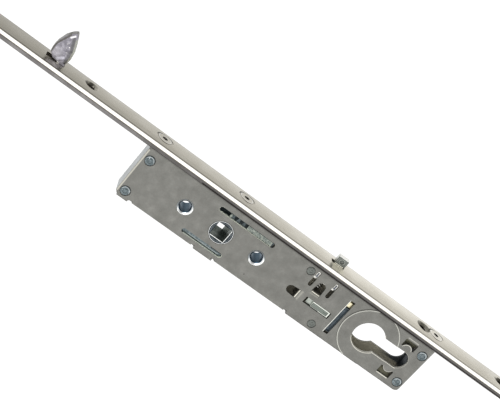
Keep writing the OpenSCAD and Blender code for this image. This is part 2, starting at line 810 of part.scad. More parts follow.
module return_slide() {
    tip_x = tooth_module - pitch_r;
    color("lightslategray") difference() {
        union() {
            box([return_back, rack_near, return_end], [return_root, piece_y, return_top]);
            box([return_back, rack_near, return_end], [foot_x, piece_y, return_end + foot_t]);
            box([return_back, rack_near, -1.25 * tooth_step], [tip_x, piece_y, return_top]);
            box([return_back, -piece_y, return_step], [return_slot_x + 1.5, rack_near, return_top]);
            box([return_back, -piece_y, return_flange_end], [return_slot_x + 0.4, rack_near, return_step]);
        }
        for (i = [-2 : 3]) translate([0, 0, (i + 0.5) * tooth_step])
            mirror([1, 0, 0]) across(rack_near, case_t) rack_gap();
    }
}

// Points of a coil round the Z axis from z0 to z1, and the tube swept along them
coil_rings = 8;
coil_sides = 6;
function coil_point(i, r, turns, z0, z1) = let (t = i / (turns * coil_rings))
    [r * cos(i * 360 / coil_rings), r * sin(i * 360 / coil_rings), z0 + (z1 - z0) * t];
function coil_ring(i, r, turns, z0, z1) = let (
        turn = i * 360 / coil_rings,
        out = [cos(turn), sin(turn), 0],
        rise = (z1 - z0) / turns / (2 * PI * r),
        up = [rise * sin(turn), -rise * cos(turn), 1] / norm([rise, 1]),
        at = coil_point(i, r, turns, z0, z1))
    [for (k = [0 : coil_sides - 1]) at + wire_r * (cos(k * 60) * out + sin(k * 60) * up)];
function coil_gap(r, turns, z0, z1) = min([for (i = [0 : turns * coil_rings - 1],
    j = [i + coil_rings / 2 : turns * coil_rings])
        if (j > i + coil_rings / 2) norm(coil_point(i, r, turns, z0, z1) - coil_point(j, r, turns, z0, z1))])
    - 2 * wire_r;

module coil(r, turns, z0, z1) {
    last = turns * coil_rings;
    points = [for (i = [0 : last], p = coil_ring(i, r, turns, z0, z1)) p];
    sides = [for (i = [0 : last - 1], k = [0 : coil_sides - 1]) let (n = (k + 1) % coil_sides,
        a = i * coil_sides + k, b = i * coil_sides + n)
            each [[a, b, b + coil_sides], [a, b + coil_sides, a + coil_sides]]];
    ends = [for (k = [1 : coil_sides - 2]) each [[0, k + 1, k],
        [last * coil_sides, last * coil_sides + k, last * coil_sides + k + 1]]];
    polyhedron(points, concat(sides, ends));
    echo(least_gap = coil_gap(r, turns, z0, z1));
}

module return_spring() {
    color("gray") translate([return_spring_x, 0.3, 0])
        coil(return_spring_r, return_spring_turns, seat_z + wire_r + 0.15, return_end - wire_r - 0.15);
}

module spring_seat() {
    color("silver") box([back_in, near_in, seat_z - seat_t], [seat_x, far_in, seat_z]);
}

module plunger() {
    low = plunger_head_z - plunger_len / 2;
    high = plunger_head_z + plunger_len / 2;
    out = crown_x + plunger_out;
    nose = out - plunger_chamfer;
    color("silver") difference() {
        across(-plunger_w / 2, plunger_w / 2) polygon([[carriage_front, low], [nose, low],
            [out, low + plunger_chamfer], [out, high - plunger_chamfer], [nose, high],
            [carriage_front, high]]);
        for (side = [0, 1]) mirror([0, side, 0]) difference() {
            rod_y(-plunger_w / 2 - over, -plunger_w / 2 + dimple_h, out - 2.35, plunger_head_z, dimple_r);
            rod_y(-plunger_w / 2 - 2 * over, 0, out - 2.35, plunger_head_z, dimple_r / 2);
        }
    }
}

module plunger_carriage() {
    color("silver") difference() {
        union() {
            box([carriage_back, -piece_y, -plunger_z - ear_step - ear_w / 2],
                [carriage_front, piece_y, -plunger_z + ear_step + ear_w / 2]);
            for (side = [-1, 1]) across(rib_y, -piece_y)
                lying_hole(ear_front - ear_len, ear_front, -plunger_z + side * ear_step, ear_w / 2);
            for (side = [-1, 1]) box([carriage_front, -piece_y, -plunger_z + side * ear_step - ear_w / 2],
                [ear_front, piece_y, -plunger_z + side * ear_step + ear_w / 2]);
        }
        rod_x(carriage_back - over, carriage_front + over, 0, -plunger_z, spring_bore_r);
    }
}

module plunger_spring() {
    color("gainsboro") translate([0, 0, -plunger_z]) rotate([0, 90, 0])
        coil(plunger_spring_r, plunger_spring_turns, window_b_flat + wire_r + 0.15,
            carriage_front - wire_r - 0.15);
}

module cam_follower() {
    prong_end = cam_floor - prong_drop;
    left = rib_left - 0.3;
    right = rib_right + 0.3;
    color("slategray") difference() {
        union() {
            box([left, follower_near, cam_floor], [right, piece_y, follower_z + 2.4]);
            for (x = [left, right - prong_w])
                box([x, follower_near, prong_end], [x + prong_w, piece_y, cam_floor]);
            box([arm_left, follower_near, follower_z], [arm_right, piece_y, arm_top]);
            box([rib_left, rib_y, follower_z - rib_half], [rib_right, follower_near, follower_z + rib_half]);
        }
        box([rib_left + rib_top, rib_y - over, follower_z - rib_half + rib_top],
            [rib_right - rib_top, rib_y + 0.5, follower_z + rib_half - rib_top]);
        rod_y(follower_near - over, follower_near + 2, pin_x, pin_z, pin_r + thread_gap);
    }
}

module follower_shoe() {
    color("palegoldenrod") box([rib_right, deadlock_near, follower_z - rib_half - 0.1],
        [rib_right + shoe_len, follower_near, follower_z + rib_half + 0.1]);
}

module follower_pin() {
    color("silver") rod_y(deadlock_near + 0.1, follower_near + 2, pin_x, pin_z, pin_r);
}

module deadlock_slide() {
    half = pin_r + 0.08;
    color("lightsteelblue") difference() {
        union() {
            box([deadlock_left, deadlock_near, deadlock_end], [deadlock_right, deadlock_far, deadlock_top]);
            box([spine_left, deadlock_near, deadlock_top], [spine_right - 0.2, deadlock_far, tongue_top]);
            box([spine_left, rib_y, spine_end], [spine_right, deadlock_near, spine_top]);
        }
        across(deadlock_near - 0.01, deadlock_far + over) {
            for (step = [0, deadlock_travel]) translate([pin_x + step, pin_z - step]) circle(half);
            translate([pin_x, pin_z]) rotate(-45) translate([0, -half])
                square([deadlock_travel * sqrt(2), 2 * half]);
        }
    }
}

faceplate();
drive_rail();
upper_claw();
lower_claw();
lock_case();
case_cover();
upper_end_block();
lower_end_block();
case_rivets();
rivet_spacers();
upper_handle_bush();
lower_handle_bush();
case_screws();
rail_spacers();
rail_keepers();
hub();
drive_slide();
drive_studs();
return_slide();
return_spring();
spring_seat();
plunger();
plunger_carriage();
plunger_spring();
cam_follower();
follower_shoe();
follower_pin();
deadlock_slide();

module upper_claw() { claw(upper_claw_z); }

module lower_claw() { claw(-lower_claw_z); }
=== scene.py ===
"""Looks of a patio door lock: a long strip with claws, and the lock case with its works behind it.

Lengths are in millimetres until they go into a mesh, which is in metres. Only the studio's floor
and lights are given in metres. The frame is the part's own: X out of the strip's front, Z up
along the strip, and the sheet with the windows on the -Y side.
"""

import json
import logging
import math
from dataclasses import dataclass, field, replace
from enum import Enum
from typing import Any

import bpy
from mathutils import Matrix, Vector

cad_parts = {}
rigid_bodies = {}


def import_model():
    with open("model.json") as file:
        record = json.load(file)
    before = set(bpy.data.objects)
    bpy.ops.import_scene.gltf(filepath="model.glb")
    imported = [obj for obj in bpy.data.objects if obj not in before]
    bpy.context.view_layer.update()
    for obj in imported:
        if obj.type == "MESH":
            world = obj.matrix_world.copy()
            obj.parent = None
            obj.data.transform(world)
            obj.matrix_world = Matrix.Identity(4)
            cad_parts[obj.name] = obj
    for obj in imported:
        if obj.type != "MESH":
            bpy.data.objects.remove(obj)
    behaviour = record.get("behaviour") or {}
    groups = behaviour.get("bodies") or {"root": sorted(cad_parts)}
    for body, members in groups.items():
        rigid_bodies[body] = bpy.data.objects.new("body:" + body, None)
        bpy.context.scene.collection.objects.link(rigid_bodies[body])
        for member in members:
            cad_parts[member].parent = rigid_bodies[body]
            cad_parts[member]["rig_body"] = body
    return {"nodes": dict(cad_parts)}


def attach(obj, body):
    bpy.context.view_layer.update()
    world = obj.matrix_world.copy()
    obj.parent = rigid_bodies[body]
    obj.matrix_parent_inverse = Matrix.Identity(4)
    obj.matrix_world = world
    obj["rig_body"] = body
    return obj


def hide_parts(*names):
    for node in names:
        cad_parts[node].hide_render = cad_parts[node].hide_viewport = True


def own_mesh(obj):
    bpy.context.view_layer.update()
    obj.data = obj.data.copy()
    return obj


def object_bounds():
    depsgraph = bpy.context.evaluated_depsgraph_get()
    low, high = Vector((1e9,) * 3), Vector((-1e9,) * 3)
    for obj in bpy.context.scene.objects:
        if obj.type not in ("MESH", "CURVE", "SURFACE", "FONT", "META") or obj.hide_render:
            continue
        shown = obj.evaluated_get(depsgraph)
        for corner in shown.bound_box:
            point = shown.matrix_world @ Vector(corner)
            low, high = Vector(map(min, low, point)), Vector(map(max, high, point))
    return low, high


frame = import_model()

CAD_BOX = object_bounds()
MM = 0.001
log = logging.getLogger("patio_door_lock")

Tree = bpy.types.NodeTree
Socket = bpy.types.NodeSocket
Piece = bpy.types.Object
Pair = tuple[float, float]
Triple = tuple[float, float, float]

# A zone that starts at this distance takes in its middle, and one that ends at the other has no end.
FROM_MIDDLE = -1.0
NO_END = 99.0
# Vertices nearer to each other than this are merged, and what is this near to a place counts as there.
WELD_MM = 0.002
NEAR_MM = 0.02
# Faces that meet at less than this are one flat face, and at more than the other have an edge to ease.
FLAT_DEG = 0.3
EDGE_DEG = 28.0
# Faces that meet at less than these are shaded as one surface, on copied nodes, coils and new pieces.
SMOOTH_DEG = 40.0
COIL_SMOOTH_DEG = 60.0
PIECE_SMOOTH_DEG = 30.0
# What the fine marks add to the patches, and the stretch of their sum that a finish's colours span.
GRAIN_SHARE = 0.35
BRIGHTNESS_SPAN = (0.42, 0.95)
# The pattern's value where specks start and where they are full, and how far a full share lowers both.
SPECK_SPAN = (0.72, 0.8)
SPECK_DROP = 0.2
SPECK_COLOUR = "F4F3F1"
# How far the edges of a bent tab are rounded.
TAB_EDGE_MM = 0.15


class Lay(Enum):
    """Which way the fine marks of a finish run, as how far a mark is drawn out along X, Y and Z."""

    EVEN = (1.0, 1.0, 1.0)
    ALONG_STRIP = (1.0, 1.0, 14.0)


class Spread(Enum):
    """What a zone's distance is measured from: a point, a line along an axis or a plane across one.

    Each value says how much X, Y and Z count for the distance.
    """

    POINT = (1.0, 1.0, 1.0)
    X_LINE = (0.0, 1.0, 1.0)
    Y_LINE = (1.0, 0.0, 1.0)
    X_PLANE = (1.0, 0.0, 0.0)
    Y_PLANE = (0.0, 1.0, 0.0)
    Z_PLANE = (0.0, 0.0, 1.0)


def linear(hex_colour: str) -> tuple[float, float, float, float]:
    """Turns an sRGB hex colour into the linear one that the shaders use.

    Args:
        hex_colour: Six hex digits, with or without a leading hash sign.

    Returns:
        Red, green, blue and a full alpha.
    """
    digits = hex_colour.lstrip("#")
    channels = [int(digits[i : i + 2], 16) / 255 for i in (0, 2, 4)]
    turned = [c / 12.92 if c <= 0.04045 else ((c + 0.055) / 1.055) ** 2.4 for c in channels]
    return (turned[0], turned[1], turned[2], 1.0)


def add_node(
    tree: Tree, kind: str, settings: dict[Any, Any] | None = None, links: dict[Any, Any] | None = None
) -> bpy.types.Node:
    """Adds one node to a tree, with its settings and what feeds it.

    Args:
        tree: The material's or the world's node tree.
        kind: The node's type name.
        settings: Attributes of the node, or, where no attribute has that name, values of its inputs by
            name or number.
        links: For an input's name or number, the output socket that feeds it.

    Returns:
        The new node.
    """
    node = tree.nodes.new(kind)
    for name, value in (settings or {}).items():
        if isinstance(name, str) and hasattr(node, name):
            setattr(node, name, value)
        else:
            node.inputs[name].default_value = value
    for name, socket in (links or {}).items():
        tree.links.new(socket, node.inputs[name])
    return node


def set_ramp(node: bpy.types.Node, stops: list[tuple[float, str]]) -> None:
    """Gives a colour ramp its stops.

    Args:
        node: The colour ramp node.
        stops: Place from 0 to 1 and hex colour of each stop, in order.
    """
    ramp = node.color_ramp
    while len(ramp.elements) < len(stops):
        ramp.elements.new(0.5)
    for element, (place, colour) in zip(ramp.elements, stops):
        element.position = place
        element.color = linear(colour)


def distance(tree: Tree, place: Socket, centre: Triple, spread: Spread) -> Socket:
    """Adds the nodes for a point's distance from a centre.

    Args:
        tree: The material's node tree.
        place: The socket that gives the point's place.
        centre: Where the distance is measured from, in mm.
        spread: Whether that is a point, a line or a plane through it.

    Returns:
        The distance, in metres.
    """
    shift = [-c * MM * w for c, w in zip(centre, spread.value)]
    settings = {"Location": shift, "Scale": spread.value}
    moved = add_node(tree, "ShaderNodeMapping", settings, {"Vector": place}).outputs["Vector"]
    return add_node(tree, "ShaderNodeVectorMath", {"operation": "LENGTH"}, {0: moved}).outputs["Value"]


def product_of(tree: Tree, changes: list[tuple[Socket, Pair, Pair]]) -> Socket:
    """Adds the nodes that multiply values, each of which changes over a stretch of a distance.

    Args:
        tree: The material's node tree.
        changes: For each value, the distance that it follows, where its change starts and ends in mm, and
            what it is before and after that.

    Returns:
        The product at the point.
    """
    product = None
    for away, (start_mm, end_mm), (before, after) in changes:
        settings = {"From Min": start_mm * MM, "From Max": end_mm * MM, "To Min": before, "To Max": after}
        value = add_node(tree, "ShaderNodeMapRange", settings, {"Value": away}).outputs["Result"]
        if product is not None:
            both = {0: product, 1: value}
            value = add_node(tree, "ShaderNodeMath", {"operation": "MULTIPLY"}, both).outputs["Value"]
        product = value
    return product


class Mark:
    """A part of a surface that looks different, such as painted shade in a bore or a painted highlight on
    an edge.

    Attributes:
        colour: Its colour.
        share: How much of that colour shows, from 0 to 1.
    """

    colour: str
    share: float

    def mask(self, tree: Tree, place: Socket) -> Socket:
        """Adds the nodes for how much of the mark's colour shows at a point.

        Args:
            tree: The material's node tree.
            place: The socket that gives a point's place.

        Returns:
            The share, from 0 to 1.
        """
        raise NotImplementedError

    def paint(self, tree: Tree, place: Socket, colour: Socket) -> Socket:
        """Lays the mark's colour over another.

        Args:
            tree: The material's node tree.
            place: The socket that gives a point's place.
            colour: The colour under it.

        Returns:
            The colour with the mark on it.
        """
        settings = {"data_type": "RGBA", 7: linear(self.colour)}
        return add_node(tree, "ShaderNodeMix", settings, {0: self.mask(tree, place), 6: colour}).outputs[2]


@dataclass(frozen=True)
class Zone(Mark):
    """A mark between two distances from a centre: a disc, a ring, a ball or a band.

    Attributes:
        centre: Its middle, in mm.
        spread: What the distance is measured from.
        inner: Nearest distance from the middle that belongs to it, in mm.
        outer: Furthest distance that belongs to it, in mm.
        soft: How far it fades past both, in mm.
        colour: Its colour.
        share: How much of that colour shows, from 0 to 1.
        clear: Middle of a round part that the mark leaves out, which turns a ring into a crescent.
        clear_mm: Radius of that part. 0 leaves nothing out.
    """

    centre: Triple
    spread: Spread
    inner: float
    outer: float
    soft: float
    colour: str
    share: float = 1.0
    clear: Triple = (0.0, 0.0, 0.0)
    clear_mm: float = 0.0

    def mask(self, tree: Tree, place: Socket) -> Socket:
        """Adds the nodes for how much of the mark's colour shows at a point.

        Args:
            tree: The material's node tree.
            place: The socket that gives a point's place.

        Returns:
            The share, from 0 to 1.
        """
        away = distance(tree, place, self.centre, self.spread)
        changes = [
            (away, (self.inner - self.soft, self.inner), (0.0, self.share)),
            (away, (self.outer, self.outer + self.soft), (1.0, 0.0)),
        ]
        if self.clear_mm > 0:
            past = distance(tree, place, self.clear, self.spread)
            changes.append((past, (self.clear_mm - self.soft, self.clear_mm + self.soft), (0.0, 1.0)))
        return product_of(tree, changes)


@dataclass(frozen=True)
class Bar(Mark):
    """A mark in the shape of a box.

    Attributes:
        middle: Its middle, in mm.
        half: Half its size along X, Y and Z.
        soft: How far it fades past its sides, in mm: one value, or one each along X, Y and Z.
        colour: Its colour.
        share: How much of that colour shows, from 0 to 1.
    """

    middle: Triple
    half: Triple
    soft: float | Triple
    colour: str
    share: float = 1.0

    def mask(self, tree: Tree, place: Socket) -> Socket:
        """Adds the nodes for how much of the mark's colour shows at a point.

        Args:
            tree: The material's node tree.
            place: The socket that gives a point's place.

        Returns:
            The share, from 0 to 1.
        """
        soft = Vector(self.soft if isinstance(self.soft, tuple) else (self.soft,) * 3)
        reach = place
        for settings in (
            {"operation": "SUBTRACT", 1: Vector(self.middle) * MM},
            {"operation": "ABSOLUTE"},
            {"operation": "SUBTRACT", 1: Vector(self.half) * MM},
            {"operation": "DIVIDE", 1: soft},
        ):
            reach = add_node(tree, "ShaderNodeVectorMath", settings, {0: reach}).outputs["Vector"]
        most, *others = add_node(tree, "ShaderNodeSeparateXYZ", {}, {"Vector": reach}).outputs[:3]
        for other in others:
            both = {0: most, 1: other}
            most = add_node(tree, "ShaderNodeMath", {"operation": "MAXIMUM"}, both).outputs["Value"]
        return product_of(tree, [(most, (0.0, 1.0), (self.share, 0.0))])


@dataclass(frozen=True)
class Stroke(Mark):
    """A mark along a straight line, such as a crease's painted shade or a scratch, the same at any Y.

    Attributes:
        start: X and Z of one end, in mm.
        end: X and Z of the other end.
        half: Half its width.
        soft: How far it fades past that.
        colour: Its colour.
        share: How much of that colour shows, from 0 to 1.
    """

    start: Pair
    end: Pair
    half: float
    soft: float
    colour: str
    share: float = 1.0

    def mask(self, tree: Tree, place: Socket) -> Socket:
        """Adds the nodes for how much of the mark's colour shows at a point.

        Args:
            tree: The material's node tree.
            place: The socket that gives a point's place.

        Returns:
            The share, from 0 to 1.
        """
        start = Vector((self.start[0], 0, self.start[1])) * MM
        run = Vector((self.end[0], 0, self.end[1])) * MM - start
        off = place
        for settings in ({"operation": "MULTIPLY", 1: (1, 0, 1)}, {"operation": "SUBTRACT", 1: start}):
            off = add_node(tree, "ShaderNodeVectorMath", settings, {0: off}).outputs["Vector"]
        settings = {"operation": "DOT_PRODUCT", 1: run / run.length_squared}
        along = add_node(tree, "ShaderNodeVectorMath", settings, {0: off}).outputs["Value"]
        held = add_node(tree, "ShaderNodeClamp", {}, {"Value": along}).outputs["Result"]
        settings = {"operation": "SCALE", 0: run}
        foot = add_node(tree, "ShaderNodeVectorMath", settings, {"Scale": held}).outputs["Vector"]
        both = {0: off, 1: foot}
        away = add_node(tree, "ShaderNodeVectorMath", {"operation": "DISTANCE"}, both).outputs["Value"]
        return product_of(tree, [(away, (self.half, self.half + self.soft), (self.share, 0.0))])


def held_back(tree: Tree, place: Socket, full: float, marks: tuple[Mark, ...]) -> Socket:
    """Adds the nodes for a value that falls to nothing under marks.

    Args:
        tree: The material's node tree.
        place: The socket that gives a point's place.
        full: The value where there is no mark.
        marks: The marks, at least one.

    Returns:
        The value at the point.
    """
    value = None
    for mark in marks:
        most = full if value is None else 1.0
        settings = {"operation": "MULTIPLY_ADD", 1: -most, 2: most}
        rest = add_node(tree, "ShaderNodeMath", settings, {0: mark.mask(tree, place)}).outputs["Value"]
        if value is not None:
            both = {0: value, 1: rest}
            rest = add_node(tree, "ShaderNodeMath", {"operation": "MULTIPLY"}, both).outputs["Value"]
        value = rest
    return value


@dataclass(frozen=True)
class MetalFinish:
    """A metal surface: its colours, how rough it is, and the marks on it, many of them painted light and
    shade.

    Attributes:
        name: What the finish is called.
        dark: Colour of its duller patches.
        base: Its usual colour.
        light: Colour of its brighter patches.
        rough: Roughness of the brightest and of the dullest patches.
        patch_mm: Usual size of a patch.
        grain_mm: Spacing of the fine marks.
        bump_mm: Height of the fine marks.
        lay: Which way the fine marks run.
        speck: Share of the surface that shows bright specks.
        speck_mm: Spacing of the specks.
        metallic: 1 for bare or plated metal, less under lacquer or grime.
        zones: Parts of the surface that look different.
        dull: Parts that take a mark's colour and no longer mirror: painted light, reflection and shade, and
            oil.
        gaps: Narrow gaps and sunk slopes, painted in their shade, which let no gloss back at all.
        shade_lift: How strongly its own colour glows, as painted light for what the light does in the case.
    """

    name: str
    dark: str
    base: str
    light: str
    rough: Pair
    patch_mm: float
    grain_mm: float
    bump_mm: float
    lay: Lay = Lay.EVEN
    speck: float = 0.0
    speck_mm: float = 0.8
    metallic: float = 1.0
    zones: tuple[Mark, ...] = ()
    dull: tuple[Mark, ...] = ()
    gaps: tuple[Mark, ...] = ()
    shade_lift: float = 0.0

    def make(self) -> bpy.types.Material:
        """Builds the finish as a node material.

        Returns:
            The material, ready to put on a piece.
        """
        material = bpy.data.materials.new(self.name)
        material.use_nodes = True
        tree = material.node_tree
        tree.nodes.clear()
        place = add_node(tree, "ShaderNodeTexCoord").outputs["Object"]
        grain, bright = self.pattern(tree, place)
        colour = self.coloured(tree, place, bright)
        settings = {"To Min": self.rough[1], "To Max": self.rough[0]}
        rough = add_node(tree, "ShaderNodeMapRange", settings, {"Value": bright}).outputs["Result"]
        settings = {"Strength": 1.0, "Distance": self.bump_mm * MM}
        bump = add_node(tree, "ShaderNodeBump", settings, {"Height": grain}).outputs["Normal"]
        shader = add_node(
            tree,
            "ShaderNodeBsdfPrincipled",
            {"Metallic": self.metallic, "Emission Strength": self.shade_lift},
            {"Base Color": colour, "Emission Color": colour, "Roughness": rough, "Normal": bump},
        )
        for name, marks in (("Metallic", self.dull + self.gaps), ("Specular IOR Level", self.gaps)):
            if marks:
                socket = shader.inputs[name]
                tree.links.new(held_back(tree, place, socket.default_value, marks), socket)
        add_node(tree, "ShaderNodeOutputMaterial", {}, {"Surface": shader.outputs["BSDF"]})
        return material

    def pattern(self, tree: Tree, place: Socket) -> tuple[Socket, Socket]:
        """Adds the patches and the fine marks.

        Args:
            tree: The material's node tree.
            place: The socket that gives a point's place.

        Returns:
            The height of the fine marks, and how bright the surface is, from 0 to 1.
        """
        settings = {"Scale": tuple(1 / s for s in self.lay.value)}
        drawn = add_node(tree, "ShaderNodeMapping", settings, {"Vector": place}).outputs["Vector"]
        settings = {"Scale": 1 / (self.patch_mm * MM), "Detail": 4.0, "Roughness": 0.6}
        patches = add_node(tree, "ShaderNodeTexNoise", settings, {"Vector": place}).outputs["Fac"]
        settings = {"Scale": 1 / (self.grain_mm * MM), "Detail": 3.0, "Roughness": 0.65}
        grain = add_node(tree, "ShaderNodeTexNoise", settings, {"Vector": drawn}).outputs["Fac"]
        settings = {"operation": "MULTIPLY_ADD", 1: GRAIN_SHARE}
        blend = add_node(tree, "ShaderNodeMath", settings, {0: grain, 2: patches}).outputs["Value"]
        settings = {"From Min": BRIGHTNESS_SPAN[0], "From Max": BRIGHTNESS_SPAN[1]}
        return grain, add_node(tree, "ShaderNodeMapRange", settings, {"Value": blend}).outputs["Result"]

    def coloured(self, tree: Tree, place: Socket, bright: Socket) -> Socket:
        """Adds the colours, the specks and the marks.

        Args:
            tree: The material's node tree.
            place: The socket that gives a point's place.
            bright: How bright the surface is, from 0 to 1.

        Returns:
            The colour at the point.
        """
        ramp = add_node(tree, "ShaderNodeValToRGB", {}, {"Fac": bright})
        set_ramp(ramp, [(0.0, self.dark), (0.5, self.base), (1.0, self.light)])
        colour = ramp.outputs["Color"]
        if self.speck > 0:
            settings = {"Scale": 1 / (self.speck_mm * MM), "Detail": 1.0}
            cells = add_node(tree, "ShaderNodeTexNoise", settings, {"Vector": place}).outputs["Fac"]
            start, end = (value - SPECK_DROP * self.speck for value in SPECK_SPAN)
            settings = {"From Min": start, "From Max": end}
            mask = add_node(tree, "ShaderNodeMapRange", settings, {"Value": cells}).outputs["Result"]
            settings = {"data_type": "RGBA", 7: linear(SPECK_COLOUR)}
            colour = add_node(tree, "ShaderNodeMix", settings, {0: mask, 6: colour}).outputs[2]
        for mark in self.zones + self.dull + self.gaps:
            colour = mark.paint(tree, place, colour)
        return colour


def look_up(name: str) -> Piece:
    """Gives the CAD node of that name."""
    return frame["nodes"][name]


def only(piece: Piece) -> None:
    """Deselects everything, then selects one piece and makes it active.

    Args:
        piece: The piece.
    """
    bpy.ops.object.select_all(action="DESELECT")
    piece.hide_set(False)
    piece.select_set(True)
    bpy.context.view_layer.objects.active = piece


def put_on(piece: Piece, material: bpy.types.Material) -> None:
    """Makes one material the only one on a piece."""
    piece.data.materials.clear()
    piece.data.materials.append(material)


def merged_copy(node: str, ending: str) -> Piece:
    """Copies a CAD node, merges its loose triangles into one skin, and lets the copy stand for it.

    Args:
        node: The CAD node's name.
        ending: What the copy's name has after the node's.

    Returns:
        The copy, selected and active.
    """
    source = look_up(node)
    piece = bpy.data.objects.new(f"{node}_{ending}", source.data.copy())
    bpy.context.scene.collection.objects.link(piece)
    only(piece)
    bpy.ops.object.mode_set(mode="EDIT")
    bpy.ops.mesh.select_all(action="SELECT")
    bpy.ops.mesh.customdata_custom_splitnormals_clear()
    bpy.ops.mesh.remove_doubles(threshold=WELD_MM * MM)
    bpy.ops.object.mode_set(mode="OBJECT")
    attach(piece, source["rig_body"])
    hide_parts(node)
    return piece


def eased(node: str, width_mm: float, smooth_deg: float) -> Piece:
    """Copies a CAD node and eases its edges, as deburring or plating does.

    Args:
        node: The CAD node's name.
        width_mm: How far in from the edge the rounding starts.
        smooth_deg: Faces that meet at less than this are shaded as one surface.

    Returns:
        The copy, which stands for the node.
    """
    piece = merged_copy(node, "eased")
    bpy.ops.object.mode_set(mode="EDIT")
    bpy.ops.mesh.select_all(action="SELECT")
    bpy.ops.mesh.dissolve_limited(angle_limit=math.radians(FLAT_DEG))
    bpy.ops.object.mode_set(mode="OBJECT")
    rounding = piece.modifiers.new("rounding", "BEVEL")
    rounding.limit_method = "ANGLE"
    rounding.angle_limit = math.radians(EDGE_DEG)
    rounding.width = width_mm * MM
    rounding.segments = 2
    rounding.use_clamp_overlap = True
    rounding.harden_normals = False
    bpy.ops.object.modifier_apply(modifier=rounding.name)
    bpy.ops.object.shade_smooth_by_angle(angle=math.radians(smooth_deg))
    flat = piece.modifiers.new("flat faces stay flat", "WEIGHTED_NORMAL")
    flat.keep_sharp = True
    flat.weight = 80
    bpy.ops.object.modifier_apply(modifier=flat.name)
    return piece


@dataclass(frozen=True)
class SpringTravel:
    """How a coil spring shortens when the piece that it pushes moves.

    Attributes:
        joint: The joint that it follows. Not used.
        axis: The direction from its resting end to its moving end. Not used.
        rest_mm: A point at its resting end. Not used.
        travel_mm: How much shorter it gets.
    """

    joint: str
    axis: Triple
    rest_mm: Triple
    travel_mm: float

    def shorten(self, node: str) -> Piece:
        """Copies a spring's CAD node and shades it smooth.

        Args:
            node: The CAD node's name.

        Returns:
            The copy, which stands for the node.
        """
        piece = merged_copy(node, "sprung")
        bpy.ops.object.shade_smooth_by_angle(angle=math.radians(COIL_SMOOTH_DEG))
        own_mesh(piece)
        return piece


def block(name: str, low: Triple, high: Triple) -> Piece:
    """Starts a piece as a box between two corners, and leaves it in edit mode with nothing selected.

    Args:
        name: The piece's name.
        low: Its lowest corner, in mm.
        high: Its highest corner, in mm.

    Returns:
        The piece, at the origin.
    """
    bpy.ops.object.select_all(action="DESELECT")
    middle = (Vector(low) + Vector(high)) / 2 * MM
    size = (Vector(high) - Vector(low)) * MM
    bpy.ops.mesh.primitive_cube_add(size=1.0, location=middle, scale=size)
    piece = bpy.context.object
    piece.name = name
    piece.data.name = name
    bpy.ops.object.transform_apply(location=True, rotation=True, scale=True)
    bpy.ops.object.mode_set(mode="EDIT")
    bpy.ops.mesh.select_all(action="DESELECT")
    return piece


def pick(piece: Piece, towards: Triple) -> None:
    """Adds the vertices that lie furthest in a direction to the selection, in edit mode.

    Args:
        piece: The piece that is being edited.
        towards: The direction.
    """
    bpy.ops.object.mode_set(mode="OBJECT")
    way = Vector(towards)
    most = max(v.co.dot(way) for v in piece.data.vertices)
    for vertex in piece.data.vertices:
        if vertex.co.dot(way) > most - NEAR_MM * MM:
            vertex.select = True
    bpy.ops.object.mode_set(mode="EDIT")
    bpy.ops.mesh.select_mode(type="VERT")
    bpy.ops.mesh.select_mode(type="EDGE")


def close_up() -> None:
    """Turns the faces of the piece that is being edited outwards, and leaves edit mode."""
    bpy.ops.mesh.select_all(action="SELECT")
    bpy.ops.mesh.normals_make_consistent(inside=False)
    bpy.ops.object.mode_set(mode="OBJECT")


def rounded_bar(name: str, low: Triple, high: Triple, corner: Triple, radius_mm: float) -> Piece:
    """Models a bar with one long edge rolled over, as a sheet has where it bends away.

    Args:
        name: The piece's name.
        low: Its lowest corner, in mm.
        high: Its highest corner, in mm.
        corner: The direction that the rolled edge faces.
        radius_mm: How far the rounding reaches.

    Returns:
        The piece, in object mode.
    """
    piece = block(name, low, high)
    pick(piece, corner)
    bpy.ops.mesh.bevel(offset=radius_mm * MM, segments=5, profile=0.5)
    close_up()
    bpy.ops.object.shade_smooth_by_angle(angle=math.radians(PIECE_SMOOTH_DEG))
    return piece


def sprung_leaf(name: str, low: Triple, high: Triple, lift: Triple) -> Piece:
    """Models a thin leaf that lies flat at its near end and springs inwards at its far end.

    Args:
        name: The piece's name.
        low: Its lowest corner, in mm.
        high: Its highest corner, in mm.
        lift: How far its far end stands in from the wall, in mm.

    Returns:
        The piece, in object mode.
    """
    piece = block(name, low, high)
    bpy.ops.mesh.select_all(action="SELECT")
    bpy.ops.mesh.bisect(plane_co=(0, 0, 0), plane_no=(0, 1, 0))
    bpy.ops.mesh.select_all(action="DESELECT")
    pick(piece, (0, 1, 0))
    bpy.ops.transform.translate(value=Vector(lift) * MM)
    close_up()
    return piece


def bent_tab(name: str, low: Triple, high: Triple, inner: Triple, drop: Triple) -> Piece:
    """Models a tab that was cut free on three sides of a window and bent into the case.

    Args:
        name: The piece's name.
        low: Its lowest corner before it was bent, in mm.
        high: Its highest corner before it was bent, in mm.
        inner: The direction of its free end.
        drop: How far the free end was pushed in, in mm.

    Returns:
        The piece, in object mode.
    """
    piece = block(name, low, high)
    pick(piece, inner)
    bpy.ops.transform.translate(value=Vector(drop) * MM)
    bpy.ops.mesh.select_all(action="SELECT")
    bpy.ops.mesh.bevel(offset=TAB_EDGE_MM * MM, segments=2, profile=0.5)
    close_up()
    bpy.ops.object.shade_smooth_by_angle(angle=math.radians(PIECE_SMOOTH_DEG))
    return piece


def spring_wire(name: str) -> MetalFinish:
    """Gives the finish of a coil spring.

    Args:
        name: What the finish is called.

    Returns:
        The finish.
    """
    # Drawn spring wire: bright and smooth, so that every turn shows a narrow glint.
    return MetalFinish(name, "A5A5A5", "C4C4C2", "E6E6E4", (0.14, 0.26), 0.9, 0.2, 0.003)


